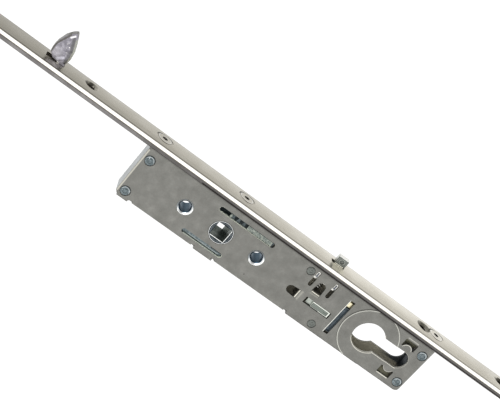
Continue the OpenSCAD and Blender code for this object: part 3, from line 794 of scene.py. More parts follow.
@dataclass
class SubAssembly:
    """A group of pieces that belong together.

    Attributes:
        ease_mm: For each node that gets eased edges, how wide they are.
        smooth_deg: For a node whose faces are shaded as one surface up to another angle, that angle.
        springs: For each node that is a coil spring, how it shortens.
        pieces: The group's own pieces: by its node's name where one stands for a node.
    """

    ease_mm: dict[str, float] = field(default_factory=dict)
    smooth_deg: dict[str, float] = field(default_factory=dict)
    springs: dict[str, SpringTravel] = field(default_factory=dict)
    pieces: dict[str, Piece] = field(default_factory=dict)

    def build(self) -> None:
        """Makes the eased and the sprung copies of this group's nodes."""
        for node, width in self.ease_mm.items():
            self.pieces[node] = eased(node, width, self.smooth_deg.get(node, SMOOTH_DEG))
            log.info("%s: edges eased by %.2f mm", node, width)
        for node, travel in self.springs.items():
            self.pieces[node] = travel.shorten(node)
            log.info("%s: shortens by %.1f mm", node, travel.travel_mm)

    def dress(self) -> None:
        """Puts this group's finishes on."""
        raise NotImplementedError

    def wear(self, finish: MetalFinish, slots: dict[str, str]) -> None:
        """Makes a finish, and puts it on nodes or on the pieces that stand for them.

        Args:
            finish: The finish.
            slots: Nodes or pieces that wear it, each with the record's slot it stands for; the slot is not
                used.
        """
        material = finish.make()
        for name, slot in slots.items():
            piece = self.pieces[name] if name in self.pieces else look_up(name)
            put_on(piece, material)
            log.info("%s: wears %s", name, finish.name)


@dataclass(frozen=True)
class SunkHole:
    """An open hole in the strip, sunk for a screw's head.

    Attributes:
        height_mm: Where it is along the strip.
        bore_mm: How far from its middle its slope starts.
        rim_mm: How far from its middle the slope ends.
        shade: How much of the painted shade on the slope shows.
    """

    height_mm: float
    bore_mm: float
    rim_mm: float
    shade: float

    def marks(self, front_mm: float) -> tuple[Mark, ...]:
        """Gives the painted shade in the hole: one mark under its upper edge, one on its far wall further
        in.

        Args:
            front_mm: Where the strip's front is.

        Returns:
            The marks.
        """
        z = self.height_mm
        under_edge, far_wall = (front_mm - 1.1, 0, z + 1.7), (front_mm - 2.2, 2.2, z)
        return (
            Zone(under_edge, Spread.POINT, FROM_MIDDLE, 1.8, 0.9, "3A362F", 0.95),
            Zone(far_wall, Spread.POINT, FROM_MIDDLE, 2.0, 0.6, "2F2B25", 0.95),
        )

    def slope(self) -> Mark:
        """Gives the painted shade on the hole's slope."""
        middle = (0, 0, self.height_mm)
        return Zone(middle, Spread.X_LINE, self.bore_mm, self.rim_mm, 0.12, "66645A", self.shade)


@dataclass
class Strip(SubAssembly):
    """The domed faceplate, the drive rail behind it, and what joins the two.

    Attributes:
        front_mm: Where the faceplate's crown is, along X.
        back_mm: Where the faceplate's back is, along X.
        rail_edge_mm: Where the rail's near edge is, along Y.
        case_screws_mm: Heights of the screws that hold the case.
        holes: The open holes, for screws into the door and into the cylinder.
    """

    front_mm: float = 20.0
    back_mm: float = 17.3
    rail_edge_mm: float = -7.9
    case_screws_mm: tuple[float, ...] = (48.65, 0.0, -119.65)
    holes: tuple[SunkHole, ...] = (
        SunkHole(90.7, 2.5, 3.45, 0.4),
        SunkHole(-111.5, 2.85, 4.05, 0.8),
        SunkHole(-162.7, 2.5, 3.45, 0.4),
    )

    ease_mm: dict[str, float] = field(
        default_factory=lambda: {"faceplate": 0.12, "drive_rail": 0.2, "case_screws": 0.08}
    )

    def plate(self) -> MetalFinish:
        """Gives the faceplate's finish, which the screws' heads in it share.

        Returns:
            The finish.
        """
        # Painted shade at the crown's rounded sides and at the back, and a painted highlight on the side
        # faces.
        edges = (
            Zone((0, 0, 0), Spread.Y_PLANE, 7.1, 7.6, 0.35, "8C877C", 0.6),
            Zone((0, 0, 0), Spread.Y_PLANE, 7.85, NO_END, 0.15, "F9F7F2"),
            Zone((self.back_mm, 0, 0), Spread.X_PLANE, FROM_MIDDLE, 0.2, 0.12, "8F8A80", 0.9),
        )
        # Painted shade in each screw's gap and recess, and a painted highlight ring inside the gap.
        heads = tuple(
            mark
            for z in self.case_screws_mm
            for mark in (
                Zone((0, 0, z), Spread.X_LINE, 3.9, 4.2, 0.1, "8C887F", 0.3),
                Zone((0, 0, z), Spread.X_LINE, 3.35, 3.6, 0.15, "FFFFFF", 0.7),
                Zone((self.front_mm, 0, z), Spread.POINT, FROM_MIDDLE, 1.3, 0.3, "0F0E0C"),
            )
        )
        sinks = tuple(mark for hole in self.holes for mark in hole.marks(self.front_mm))
        # A painted reflection: a duller cream patch on the strip at the foot of the plunger.
        foot = Bar((self.front_mm - 0.5, -4.3, -56.2), (1.5, 2.4, 3.0), 1.0, "C2BEAB", 0.85)
        # Painted shade on the far walls of the gaps round the screws' heads.
        # Past the crown the strip is seen at a slant, where only the gaps' far walls still show dark.
        far_gaps = tuple(
            Zone((0, 0, z), Spread.X_LINE, 3.5, 4.6, 0.15, "1B1916", 0.9, (0, -1.4, z), 4.6)
            for z in self.case_screws_mm
        )
        # Nickel-plated steel under a satin lacquer, drawn through rollers: a creamy metal with faint lines
        # along its length.
        return MetalFinish(
            "satin_nickel_plate", "CBC7BB", "D2CEC3", "DAD7CD", (0.2, 0.26), 9.0, 0.5, 0.003,
            Lay.ALONG_STRIP,
            zones=(*edges, *heads, *sinks),
            dull=(foot,),
            gaps=(*far_gaps, *(hole.slope() for hole in self.holes)),
        )

    def rail(self) -> MetalFinish:
        """Gives the rail's finish, with the shade along its near edge.

        Returns:
            The finish.
        """
        y = self.rail_edge_mm
        # Painted shade along the rail's near edge, darkest by the case and in the seam with the plate.
        shade = Bar((16.3, y, -123.5), (2.0, 0.3, 176.0), (0.2, 0.2, 14.0), "4A4846", 0.6)
        behind = Bar((15.5, y, -165), (0.35, 0.3, 188.0), (0.6, 0.2, 0.6), "1C1917", 0.9)
        seam = Bar((17.05, y, 150), (0.12, 0.3, 97.0), 0.1, "4A4847", 0.6)
        # Zinc-plated rolled steel, cut from coil: grey, duller than the plate in front of it.
        return MetalFinish(
            "zinc_plated_rail", "6B6868", "787676", "8A8888", (0.34, 0.5), 7.0, 0.6, 0.006, Lay.ALONG_STRIP,
            zones=(shade, behind, seam),
        )

    def dress(self) -> None:
        """Puts the strip's finishes on."""
        # Steel turned on a lathe and zinc-plated: pale grey, with a soft gloss.
        turned = MetalFinish(
            "zinc_plated_turned_steel", "9A9AA0", "B4B5BA", "C9CACE", (0.28, 0.42), 1.6, 0.3, 0.006
        )
        self.wear(self.plate(), {"faceplate": "faceplate", "case_screws": "case_screws"})
        self.wear(self.rail(), {"drive_rail": "drive_rail"})
        self.wear(turned, {"rail_keepers": "rail_keepers", "rail_spacers": "spacers"})


@dataclass
class Claws(SubAssembly):
    """The two cast claws that hook behind the keeps.

    Attributes:
        necks_mm: Heights of their necks.
    """

    necks_mm: Pair = (108.3, -180.3)

    ease_mm: dict[str, float] = field(default_factory=lambda: {"upper_claw": 0.35, "lower_claw": 0.35})

    @staticmethod
    def flank_light_and_shade(z: float) -> tuple[Mark, ...]:
        """Gives the painted shade along the creases and the upper edge, and the painted highlights, of one
        claw.

        Args:
            z: The height of its neck.

        Returns:
            The marks.
        """
        return (
            Zone((24.0, -2.2, z + 4.6), Spread.POINT, FROM_MIDDLE, 1.2, 2.4, "BDBBC2", 0.5),
            Stroke((21.4, z + 6.9), (27.4, z + 7.0), 0.3, 0.3, "55534E", 0.85),
            Stroke((27.4, z + 7.0), (34.6, z + 3.9), 0.3, 0.3, "55534E", 0.85),
            Stroke((22.5, z - 2.4), (28.0, z - 1.8), 0.4, 0.35, "A6A8A0", 0.7),
            Stroke((28.0, z - 1.8), (33.6, z + 0.2), 0.4, 0.35, "A6A8A0", 0.7),
            Stroke((22.0, z - 1.2), (28.0, z - 0.6), 0.45, 0.5, "5F5F60", 0.75),
            Stroke((28.0, z - 0.6), (34.0, z + 1.6), 0.45, 0.5, "5F5F60", 0.75),
            Stroke((33.6, z + 3.2), (35.2, z + 2.0), 0.2, 0.4, "F6F5F8", 0.85),
            Stroke((21.6, z + 2.6), (23.4, z + 0.6), 0.3, 0.7, "DCDBE8", 0.6),
        )

    def dress(self) -> None:
        """Puts the cast finish on."""
        # Painted shade: all but the near face is darker, so the leaf's sides show dark.
        far_side = Zone((0, 3.0, 0), Spread.Y_PLANE, FROM_MIDDLE, 4.75, 0.3, "8A8A86", 0.8)
        marks = tuple(mark for z in self.necks_mm for mark in self.flank_light_and_shade(z))
        # Die-cast zinc, tumbled and nickel-plated: pale grey with bright specks where the grain shows.
        cast = MetalFinish(
            "tumbled_cast_zinc", "6E6C74", "85838C", "ADABB5", (0.3, 0.5), 1.8, 0.6, 0.02,
            speck=0.15,
            speck_mm=1.3,
            zones=(far_side, *marks),
        )
        self.wear(cast, {"upper_claw": "claws", "lower_claw": "claws"})


@dataclass
class Case(SubAssembly):
    """The lock case: two folded sheets, the blocks between them, rivets, sleeves and bushes.

    Attributes:
        face_mm: Where the near sheet's outer face is, along Y.
        head_mm: How far from the middle the rivets' formed heads end.
        head_steps_mm: The rings that the forming tool leaves in a head, from the rim in: each one's width,
            and how far it steps out or in.
        corner_rivets_mm: Where the rivets near the case's corners are, as X and Z.
        bushes_mm: Heights of the handle screws' bushes.
        cylinder_mm: Height of the round part of the key cylinder's hole.
        windows_mm: Height of the two windows beside the cylinder's narrow part.
        tongue_mm: How far to each side the middle of those windows' round tongues is.
        lips_mm: For each rolled lip of a window, its two corners and the way that its rolled edge faces.
        lip_roll_mm: How far a lip's rolled edge reaches.
        tabs_mm: For each tab bent in beside the key cylinder, its two corners and the way that its free end
            faces.
        tab_drop_mm: How far a tab's free end is pushed in.
    """

    face_mm: float = -5.75
    head_mm: float = 5.95
    head_steps_mm: tuple[Pair, ...] = ((0.42, -0.22), (0.2, 0.0), (0.18, 0.16), (0.35, 0.05))
    corner_rivets_mm: tuple[Pair, ...] = (
        (8.6, 48.65), (-11, 48.65), (8.6, -119.65), (-10.6, -119.65),
    )
    bushes_mm: Pair = (21.5, -21.5)
    cylinder_mm: float = -92.0
    windows_mm: float = -110.9
    tongue_mm: float = 6.4
    lips_mm: dict[str, tuple[Triple, Triple, Triple]] = field(
        default_factory=lambda: {
            "seat": ((-5.3, -5.8, -49.3), (-0.3, -4.6, -48.8), (0, -1, 1)),
            "spring": ((2.55, -5.8, -58.4), (3.1, -4.6, -53.6), (1, -1, 0)),
            "lance": ((-12.3, -5.82, -114.2), (-11.75, -4.6, -107.6), (1, -1, 0)),
        }
    )
    lip_roll_mm: float = 0.3
    tabs_mm: dict[str, tuple[Triple, Triple, Triple]] = field(
        default_factory=lambda: {
            "front": ((6.4, -4.7, -114.4), (12.1, -4.1, -107.4), (-1, 0, 0)),
            "back": ((-12.1, -4.7, -114.4), (-6.4, -4.1, -107.4), (1, 0, 0)),
        }
    )
    tab_drop_mm: float = 2.2

    ease_mm: dict[str, float] = field(
        default_factory=lambda: {
            "lock_case": 0.14,
            "case_cover": 0.14,
            "case_rivets": 0.08,
            "upper_handle_bush": 0.1,
            "lower_handle_bush": 0.1,
        }
    )
    smooth_deg: dict[str, float] = field(default_factory=lambda: {"lock_case": 22.0, "case_cover": 22.0})

    def build(self) -> None:
        """Makes the eased copies, forms the rivets' heads, rolls the windows' lips and bends the tabs."""
        super().build()
        self.form_heads(self.pieces["case_rivets"])
        for name, (low, high, corner) in self.lips_mm.items():
            lip = rounded_bar(f"rolled_lip_{name}", low, high, corner, self.lip_roll_mm)
            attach(lip, look_up("lock_case")["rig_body"])
            self.pieces[f"lip_{name}"] = lip
        for name, (low, high, inner) in self.tabs_mm.items():
            tab = bent_tab(f"bent_tab_{name}", low, high, inner, (0, self.tab_drop_mm, 0))
            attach(tab, look_up("lock_case")["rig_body"])
            self.pieces[f"tab_{name}"] = tab

    def form_heads(self, rivets: Piece) -> None:
        """Steps every rivet's head in and out in rings, as the spinning tool does.

        Args:
            rivets: The piece with all the rivets.
        """
        only(rivets)
        bpy.ops.object.mode_set(mode="EDIT")
        bpy.ops.mesh.select_all(action="DESELECT")
        bpy.ops.object.mode_set(mode="OBJECT")
        ends = [face for face in rivets.data.polygons if abs(face.center.y) > (self.head_mm - NEAR_MM) * MM]
        for face in ends:
            face.select = True
        bpy.ops.object.mode_set(mode="EDIT")
        bpy.ops.mesh.select_mode(type="FACE")
        for width, step in self.head_steps_mm:
            bpy.ops.mesh.inset(thickness=width * MM, use_individual=True)
            bpy.ops.transform.shrink_fatten(value=step * MM)
        bpy.ops.object.mode_set(mode="OBJECT")
        log.info("case_rivets: %d heads formed", len(ends))

    @staticmethod
    def edge_light_and_shade() -> tuple[Mark, ...]:
        """Gives the painted light and shade on the near sheet's edges, its top end and fold, and round the
        hub.

        Returns:
            The marks.
        """
        return (
            Zone((14.8, 0, 0), Spread.X_PLANE, FROM_MIDDLE, 0.05, 0.9, "3E3C39", 0.6),
            Zone((-15.1, 0, 0), Spread.X_PLANE, FROM_MIDDLE, 0.1, 0.25, "3E3C39", 0.8),
            Zone((0, 0, 52.5), Spread.Z_PLANE, FROM_MIDDLE, 0.08, 0.1, "A7ABAD", 0.9),
            Bar((0, -5.2, 52.0), (13.0, 0.3, 0.3), 0.2, "D8D6CC", 0.75),
            Zone((0, 0, 0), Spread.Y_LINE, 6.08, 6.28, 0.1, "454341", 0.8),
        )

    def window_highlights(self) -> tuple[Mark, ...]:
        """Gives the painted highlights along the edges of the small windows.

        Returns:
            The marks.
        """
        y, z, x = self.face_mm, self.windows_mm, self.tongue_mm
        return (
            Bar((-0.3, y, -72.05), (10.9, 0.3, 0.1), 0.06, "F2F3EE", 0.9),
            Bar((-2.8, y, -50.6), (2.6, 0.6, 0.3), 0.4, "A9A8A0", 0.5),
            Bar((1.7, y, -56.0), (0.25, 0.6, 2.4), 0.2, "A9A8A0", 0.5),
            Bar((12.6, y, z), (0.25, 0.6, 3.2), 0.15, "B9B8B1", 0.6),
            Zone((x, 0, z), Spread.Y_LINE, 2.6, 2.85, 0.12, "D2D1C9", 0.8, (x - 3, 0, z), 4.5),
            Zone((-x, 0, z), Spread.Y_LINE, 2.6, 2.85, 0.12, "B9B8B1", 0.5, (3 - x, 0, z), 4.5),
        )

    def cylinder_highlights(self) -> tuple[Mark, ...]:
        """Gives the painted highlights on stretches of the rim of the key cylinder's hole.

        Returns:
            The marks.
        """
        z = self.cylinder_mm
        return (
            Zone((0, 0, z), Spread.Y_LINE, 8.5, 8.7, 0.1, "D9D7CE", 0.8, (4.7, 0, z + 3.7), 9.6),
            Bar((-5.28, self.face_mm, z - 13.5), (0.1, 0.4, 8.0), 0.08, "D9D7CE", 0.8),
            Zone((0, 0, z - 19.35), Spread.Y_LINE, 5.15, 5.3, 0.08, "B9B8B0", 0.6, (0, 0, z - 16), 5.6),
        )

    def near_sheet(self) -> MetalFinish:
        """Gives the near sheet's finish.

        Returns:
            The finish.
        """
        low = self.cylinder_mm
        # A painted highlight on part of the ring round the cylinder's hole.
        ring = Zone((0, 0, low), Spread.Y_LINE, 15.3, 15.5, 0.15, "D2D3CC", 0.7, (-9, 0, low - 9), 14.0)
        # Painted shade in the sink round each corner rivet.
        sinks = tuple(
            Zone((x, 0, z), Spread.Y_LINE, 2.62, 2.8, 0.12, "26292C", 0.75, (x - 0.6, 0, z + 0.1), 2.7)
            for x, z in self.corner_rivets_mm
        )
        # Painted light: bright lines on the cut walls and round ends of the slots, which do not mirror.
        lit_cut_walls = (
            Bar((8.72, -5.15, -8.15), (0.03, 0.75, 15.0), 0.03, "D5DACA"),
            Bar((-11.43, -5.15, 3.9), (0.03, 0.75, 10.5), 0.03, "C5CCBF"),
            Zone((-10.2, 0, -6.65), Spread.Y_LINE, 1.2, 1.27, 0.04, "D5DACA", 1.0, (-10.2, 0, -5.9), 1.3),
            Zone((10.1, 0, 6.9), Spread.Y_LINE, 1.36, 1.44, 0.04, "C9CDBF", 0.8, (10.1, 0, 5.9), 1.5),
        )
        # Cold-rolled steel sheet, pressed and then zinc-plated: warm grey with soft cloudy patches.
        return MetalFinish(
            "zinc_plated_steel_sheet", "6E6E6B", "767673", "80807D", (0.36, 0.5), 6.0, 0.4, 0.008,
            zones=(*self.edge_light_and_shade(), ring, *self.window_highlights(), *self.cylinder_highlights(), *sinks),
            dull=lit_cut_walls,
        )

    def dress_inside(self) -> None:
        """Puts the finishes of the far sheet and of the blocks between the sheets on."""
        # Painted shade at the lower end inside the case.
        end = Bar((0, -0.6, -116.0), (6.0, 6.0, 4.2), (1.0, 0.2, 8.0), "2A3137", 0.95)
        # The case's inside painted lighter: partly its brownish oil, partly painted light.
        inside = Bar((0.4, -0.75, -35.5), (13.4, 5.55, 87.2), 0.2, "ADA999")
        # The far sheet is the near one's steel, but its inner side has a brownish coat of oil, which takes
        # off the mirror and leaves a dull, even tone; it also glows faintly with its own colour, as painted
        # light.
        filmed_lit_sheet = MetalFinish(
            "oily_steel_sheet_painted_light", "6E6E6B", "767673", "80807D", (0.42, 0.56), 5.0, 0.5, 0.008,
            zones=(inside,),
            dull=(replace(inside, share=0.55), end),
            shade_lift=0.04,
        )
        # Die-cast zinc, as cast, inside the case where it stays dull, with painted shade at the lower end
        # and a faint glow of its own colour as painted light.
        cast = MetalFinish(
            "dull_cast_zinc", "6E6B68", "85827E", "98958F", (0.45, 0.6), 2.5, 0.5, 0.02,
            zones=(end,),
            shade_lift=0.04,
        )
        self.wear(filmed_lit_sheet, {"case_cover": "case_cover"})
        self.wear(cast, {"upper_end_block": "end_blocks", "lower_end_block": "end_blocks"})

    def dress_rivets(self) -> None:
        """Puts the finishes of the rivets, their sleeves and the handle screws' bushes on."""
        middle_pair = Zone((0, 0, -55.8), Spread.Z_PLANE, FROM_MIDDLE, 14.0, 1.0, "6B6D68", 0.75)
        shines = tuple(
            Zone((x, 0, z), Spread.Y_LINE, 1.85, 2.1, 0.1, "E3E9EC", 0.5, (x - 0.8, 0, z + 0.1), 2.3)
            for x, z in self.corner_rivets_mm
        )
        # Steel rivets with a blue-grey zinc coat, their heads formed by a spinning tool, which leaves
        # small bright specks.
        rivet = MetalFinish(
            "peened_rivet_steel", "495356", "626C70", "7E898F", (0.26, 0.42), 0.8, 0.3, 0.02,
            speck=0.12,
            speck_mm=0.6,
            zones=(middle_pair, *shines),
        )
        # Painted shade in the bushes' bores and on the upper part of their flanges.
        bores = tuple(
            mark
            for z in self.bushes_mm
            for mark in (
                Zone((0, 0, z), Spread.Y_LINE, FROM_MIDDLE, 3.2, 0.1, "40586A"),
                Zone((0, 0, z), Spread.Y_LINE, 3.1, 4.3, 0.1, "4E575C", 0.8, (-0.9, 0, z - 0.75), 3.8),
            )
        )
        # Flared steel tube, painted nearly white as a painted highlight on its flange.
        bush = MetalFinish(
            "flared_bush_steel", "E6EAEC", "F4F6F7", "FFFFFF", (0.3, 0.42), 1.5, 0.3, 0.006, zones=bores
        )
        self.wear(rivet, {"case_rivets": "case_rivets", "rivet_spacers": "spacers"})
        self.wear(bush, {"upper_handle_bush": "handle_bushes", "lower_handle_bush": "handle_bushes"})

    def dress(self) -> None:
        """Puts the case's finishes on."""
        # The near sheet's steel on the tabs in the case's shade, made darker and dull as painted shade.
        bent = MetalFinish(
            "shaded_steel_tab", "4A4A3E", "5E5D4E", "73715E", (0.5, 0.62), 2.0, 0.4, 0.01, metallic=0.6
        )
        # The same steel where a tab was bent out of it, made brighter as a painted highlight.
        rolled = MetalFinish(
            "highlit_steel_lip", "BFBDB3", "D2D0C6", "E4E2D8", (0.3, 0.42), 1.5, 0.3, 0.006
        )
        self.wear(self.near_sheet(), {"lock_case": "lock_case"})
        self.wear(bent, {f"tab_{name}": "lock_case" for name in self.tabs_mm})
        self.wear(rolled, {f"lip_{name}": "lock_case" for name in self.lips_mm})
        self.dress_inside()
        self.dress_rivets()


@dataclass
class HandleDrive(SubAssembly):
    """The hub that the handle turns, the toothed slides on either side of it and their spring.

    Attributes:
        leaves_mm: For each leaf in the hub's square, its two corners and how far its far end springs in.
        web_mm: The two corners of the web behind the rack's teeth.
        web_roll_mm: How far the web's rounded edge reaches.
    """

    leaves_mm: dict[str, tuple[Triple, Triple, Triple]] = field(
        default_factory=lambda: {
            "side": ((-4.0, -5.8, -3.9), (-3.7, 5.6, 3.9), (1.0, 0, 0)),
            "low": ((-3.7, -5.8, -4.0), (3.9, 5.6, -3.75), (0, 0, 1.6)),
        }
    )
    web_mm: tuple[Triple, Triple] = ((7.2, -4.35, -24.0), (10.9, -3.5, 9.4))
    web_roll_mm: float = 0.3

    ease_mm: dict[str, float] = field(
        default_factory=lambda: {"hub": 0.05, "drive_slide": 0.12, "return_slide": 0.12}
    )
    springs: dict[str, SpringTravel] = field(
        default_factory=lambda: {
            "return_spring": SpringTravel("return_slide_drop", (0, 0, 1), (0, 0, -21.4), 5.6)
        }
    )

    def build(self) -> None:
        """Makes the eased copies, the leaves that hold the spindle tight, and the rack's web."""
        super().build()
        for name, (low, high, lift) in self.leaves_mm.items():
            self.pieces[f"{name}_leaf"] = sprung_leaf(f"spindle_grip_leaf_{name}", low, high, lift)
            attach(self.pieces[f"{name}_leaf"], look_up("hub")["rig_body"])
        web = rounded_bar("rack_web", *self.web_mm, (-1, -1, 0), self.web_roll_mm)
        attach(web, look_up("drive_slide")["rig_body"])
        self.pieces["web"] = web
        log.info("hub: two grip leaves; drive slide: web behind its teeth")

    def dress_hub(self) -> None:
        """Puts the finishes of the hub and its leaves on."""
        # Painted light and shade round the hub's rim: a bright ring, a dark ring of shade and a faint light
        # line.
        rings = (
            Zone((0, 0, 0), Spread.Y_LINE, 5.82, 6.2, 0.05, "E2E6E8"),
            Zone((0, 0, 0), Spread.Y_LINE, 5.4, 5.68, 0.05, "23272B"),
            Zone((0, 0, 0), Spread.Y_LINE, 5.16, 5.28, 0.06, "7C858C", 0.6),
        )
        # Painted shade inside the hub.
        inside = Zone((0, 5.9, 0), Spread.Y_PLANE, FROM_MIDDLE, 11.3, 0.2, "3B4140", 0.95)
        # Sintered steel, steam-treated: dark slate with a fine, even grain.
        sinter = MetalFinish(
            "sintered_hub_steel", "2C3034", "3C4246", "5A6166", (0.34, 0.5), 1.4, 0.25, 0.01,
            zones=(*rings, inside),
        )
        # Hardened spring steel strip, dark, with painted highlights on its cut ends.
        ends = Bar((0, -5.85, 0), (5.0, 0.1, 5.0), 0.06, "ECEFEF")
        leaf = MetalFinish(
            "dark_spring_leaf", "59615D", "6A736F", "7C8681", (0.35, 0.5), 1.8, 0.3, 0.006, zones=(ends,)
        )
        self.wear(sinter, {"hub": "hub", "spring_seat": "spring_seat"})
        self.wear(leaf, {f"{name}_leaf": "hub" for name in self.leaves_mm})

    def dress(self) -> None:
        """Puts the drive's finishes on."""
        self.dress_hub()
        # Pressed steel with yellowish chromate over its zinc, streaked along its length.
        chromate = MetalFinish(
            "chromated_slide_steel", "4E5654", "747B77", "B3B7AC", (0.24, 0.4), 1.1, 0.3, 0.012,
            Lay.ALONG_STRIP,
        )
        # Its web lies deep in the slot: painted darker as painted shade, and glowing with its own colour as
        # painted light for what the slot's walls throw back.
        web = MetalFinish(
            "shaded_glowing_slide_web", "383E40", "454C4F", "5B6265", (0.4, 0.55), 1.1, 0.3, 0.012,
            Lay.ALONG_STRIP,
            shade_lift=0.5,
        )
        # The return slide is phosphated instead: bluish slate, with a painted highlight along one edge.
        edge_highlight = Bar((-10.7, -5.0, 3.0), (0.12, 1.0, 9.0), 0.12, "B5BEC0", 0.7)
        phosphate = MetalFinish(
            "phosphated_slide_steel", "4A5255", "626C70", "8C979A", (0.28, 0.45), 1.1, 0.3, 0.012,
            Lay.ALONG_STRIP,
            zones=(edge_highlight,),
        )
        self.wear(chromate, {"drive_slide": "drive_slide", "drive_studs": "drive_studs"})
        self.wear(web, {"web": "drive_slide"})
        self.wear(phosphate, {"return_slide": "return_slide"})
        self.wear(spring_wire("bright_spring_wire"), {"return_spring": "springs"})


@dataclass
class SprungPlunger(SubAssembly):
    """The square plunger in the strip, the carriage behind it and the spring that pushes both out.

    Attributes:
        side_mm: Where the plunger's near side is, along Y.
        ears_mm: Heights of the carriage's two ears.
    """

    side_mm: float = -1.5
    ears_mm: Pair = (-50.5, -61.5)

    ease_mm: dict[str, float] = field(default_factory=lambda: {"plunger": 0.12, "plunger_carriage": 0.14})
    springs: dict[str, SpringTravel] = field(
        default_factory=lambda: {
            "plunger_spring": SpringTravel("plunger_press", (1, 0, 0), (3.2, 0, 0), 4.7)
        }
    )

    def dress(self) -> None:
        """Puts the plunger's finishes on."""
        y, dimple = self.side_mm, (22.35, -1.45, -56.7)
        # Painted light and shade on the plunger: highlights on its foot edge, front and dimple rim, shade
        # along its upper edge, in its lower corner and in the dimple; its near face is darker in the
        # middle.
        face = (
            Bar((22.5, y, -57.0), (2.0, 0.4, 2.75), 0.12, "6A6E6B", 0.9),
            Bar((20.2, y, -56.7), (0.2, 0.4, 2.9), 0.1, "F4F3EC"),
            Bar((22.3, y, -53.95), (2.3, 0.4, 0.15), 0.1, "4A4E4B", 0.8),
            Zone((20.2, y, -59.5), Spread.POINT, FROM_MIDDLE, 0.4, 0.2, "2A2B28"),
            Zone(dimple, Spread.Y_LINE, 1.25, 1.4, 0.1, "B4B8B2", 0.6),
            Zone(dimple, Spread.Y_LINE, 0.75, 1.05, 0.12, "45494B", 0.6),
            Zone((24.7, 0, 0), Spread.X_PLANE, FROM_MIDDLE, 0.2, 0.1, "F6F6F4"),
        )
        # Die-cast zinc, tumbled: a pale, soft grey, with painted highlights on its edges and front.
        head = MetalFinish(
            "tumbled_plunger_zinc", "A9ABA6", "BEC0BB", "D2D4CF", (0.28, 0.42), 1.8, 0.4, 0.012, zones=face
        )
        ears = tuple(
            mark
            for z in self.ears_mm
            for mark in (
                Bar((10.35, -5.5, z), (0.4, 0.3, 0.9), 0.15, "8F9194", 0.95),
                Bar((11.4, -5.5, z), (1.15, 0.3, 0.34), 0.15, "50555E", 0.95),
            )
        )
        # Pressed steel, zinc-plated: bright, with painted shade in its ears.
        pressed = MetalFinish(
            "bright_pressed_steel", "B2B1AC", "D3D2CD", "F0EFEB", (0.2, 0.36), 1.4, 0.3, 0.008, zones=ears
        )
        self.wear(head, {"plunger": "plunger"})
        self.wear(pressed, {"plunger_carriage": "plunger_carriage"})
        self.wear(spring_wire("bright_coil_wire"), {"plunger_spring": "springs"})


@dataclass
class KeyDrive(SubAssembly):
    """What the key works: the follower, its shoe and pin, and the deadlock slide.

    Attributes:
        near_mm: Where the deadlock slide's near side is, along Y.
        spine_mm: Where the two long edges of its spine lie, along X.
    """

    near_mm: float = -5.5
    spine_mm: Pair = (-4.4, -1.35)

    ease_mm: dict[str, float] = field(
        default_factory=lambda: {"follower_shoe": 0.12, "deadlock_slide": 0.12}
    )

    def slot_light_and_shade(self) -> tuple[Mark, ...]:
        """Gives the painted highlights round the deadlock slide's slot and the painted shade inside it.

        Returns:
            The marks.
        """
        (left, right), y = self.spine_mm, self.near_mm
        middle, half = (left + right) / 2, (right - left) / 2
        return (
            Bar((middle, y, -63.45), (half + 0.3, 0.5, 5.3), 0.05, "E6EAE4", 0.8),
            Bar((middle - 0.1, y, -63.25), (half - 0.4, 0.5, 4.8), 0.1, "3A403C", 0.9),
            Bar((middle - 0.1, y, -63.2), (half - 0.66, 0.5, 4.4), 0.08, "747B76"),
            Bar((middle - 0.1, y, -66.4), (0.12, 0.5, 1.0), 0.2, "434A46", 0.6),
            Bar((middle + 0.5, y, -57.7), (1.6, 0.5, 0.12), 0.1, "4E5551", 0.7),
            Bar((left + 0.05, y, -60.0), (0.1, 0.5, 3.2), 0.1, "5B625D", 0.8),
        )

    def dress(self) -> None:
        """Puts the key drive's finishes on."""
        # Sintered steel, oiled: dark, with hardly any gloss.
        slate = MetalFinish(
            "oiled_sintered_steel", "3C4349", "4A5258", "5E676E", (0.45, 0.6), 1.4, 0.25, 0.01
        )
        # Machined brass, pale yellow, rubbed bright by the cam.
        brass = MetalFinish("rubbed_brass", "C9BE97", "E0D8B8", "F2EEDC", (0.2, 0.34), 1.2, 0.3, 0.006)
        # Die-cast zinc with a greenish passivation: a soft grey-green, with painted light and shade round
        # its slot.
        green = MetalFinish(
            "passivated_cast_zinc", "8E958F", "A3A9A3", "BFC4BF", (0.26, 0.42), 1.6, 0.35, 0.012,
            zones=self.slot_light_and_shade(),
        )
        self.wear(slate, {"cam_follower": "cam_follower", "follower_pin": "follower_pin"})
        self.wear(brass, {"follower_shoe": "follower_shoe"})
        self.wear(green, {"deadlock_slide": "deadlock_slide"})


@dataclass(frozen=True)
class SoftBox:
    """A soft light.

    Attributes:
        name: What it is called.
        place: Where it hangs, in metres.
        size: Its side, in metres.
        watts: Its power.
        tint: Its colour.
        aim: The point it faces, in metres.
    """

    name: str
    place: Triple
    size: float
    watts: float
    tint: str
    aim: Triple = (0, 0, -0.05)

    def hang(self) -> None:
        """Hangs the light, facing its aim and out of the camera's sight."""
        data = bpy.data.lights.new(self.name, "AREA")
        data.shape = "SQUARE"
        data.size = self.size
        data.energy = self.watts
        data.color = linear(self.tint)[:3]
        light = bpy.data.objects.new(self.name, data)
        light.visible_camera = False
        bpy.context.scene.collection.objects.link(light)
        place = Vector(self.place)
        facing = (Vector(self.aim) - place).to_track_quat("-Z", "Y").to_matrix().to_4x4()
        light.matrix_world = Matrix.Translation(place) @ facing


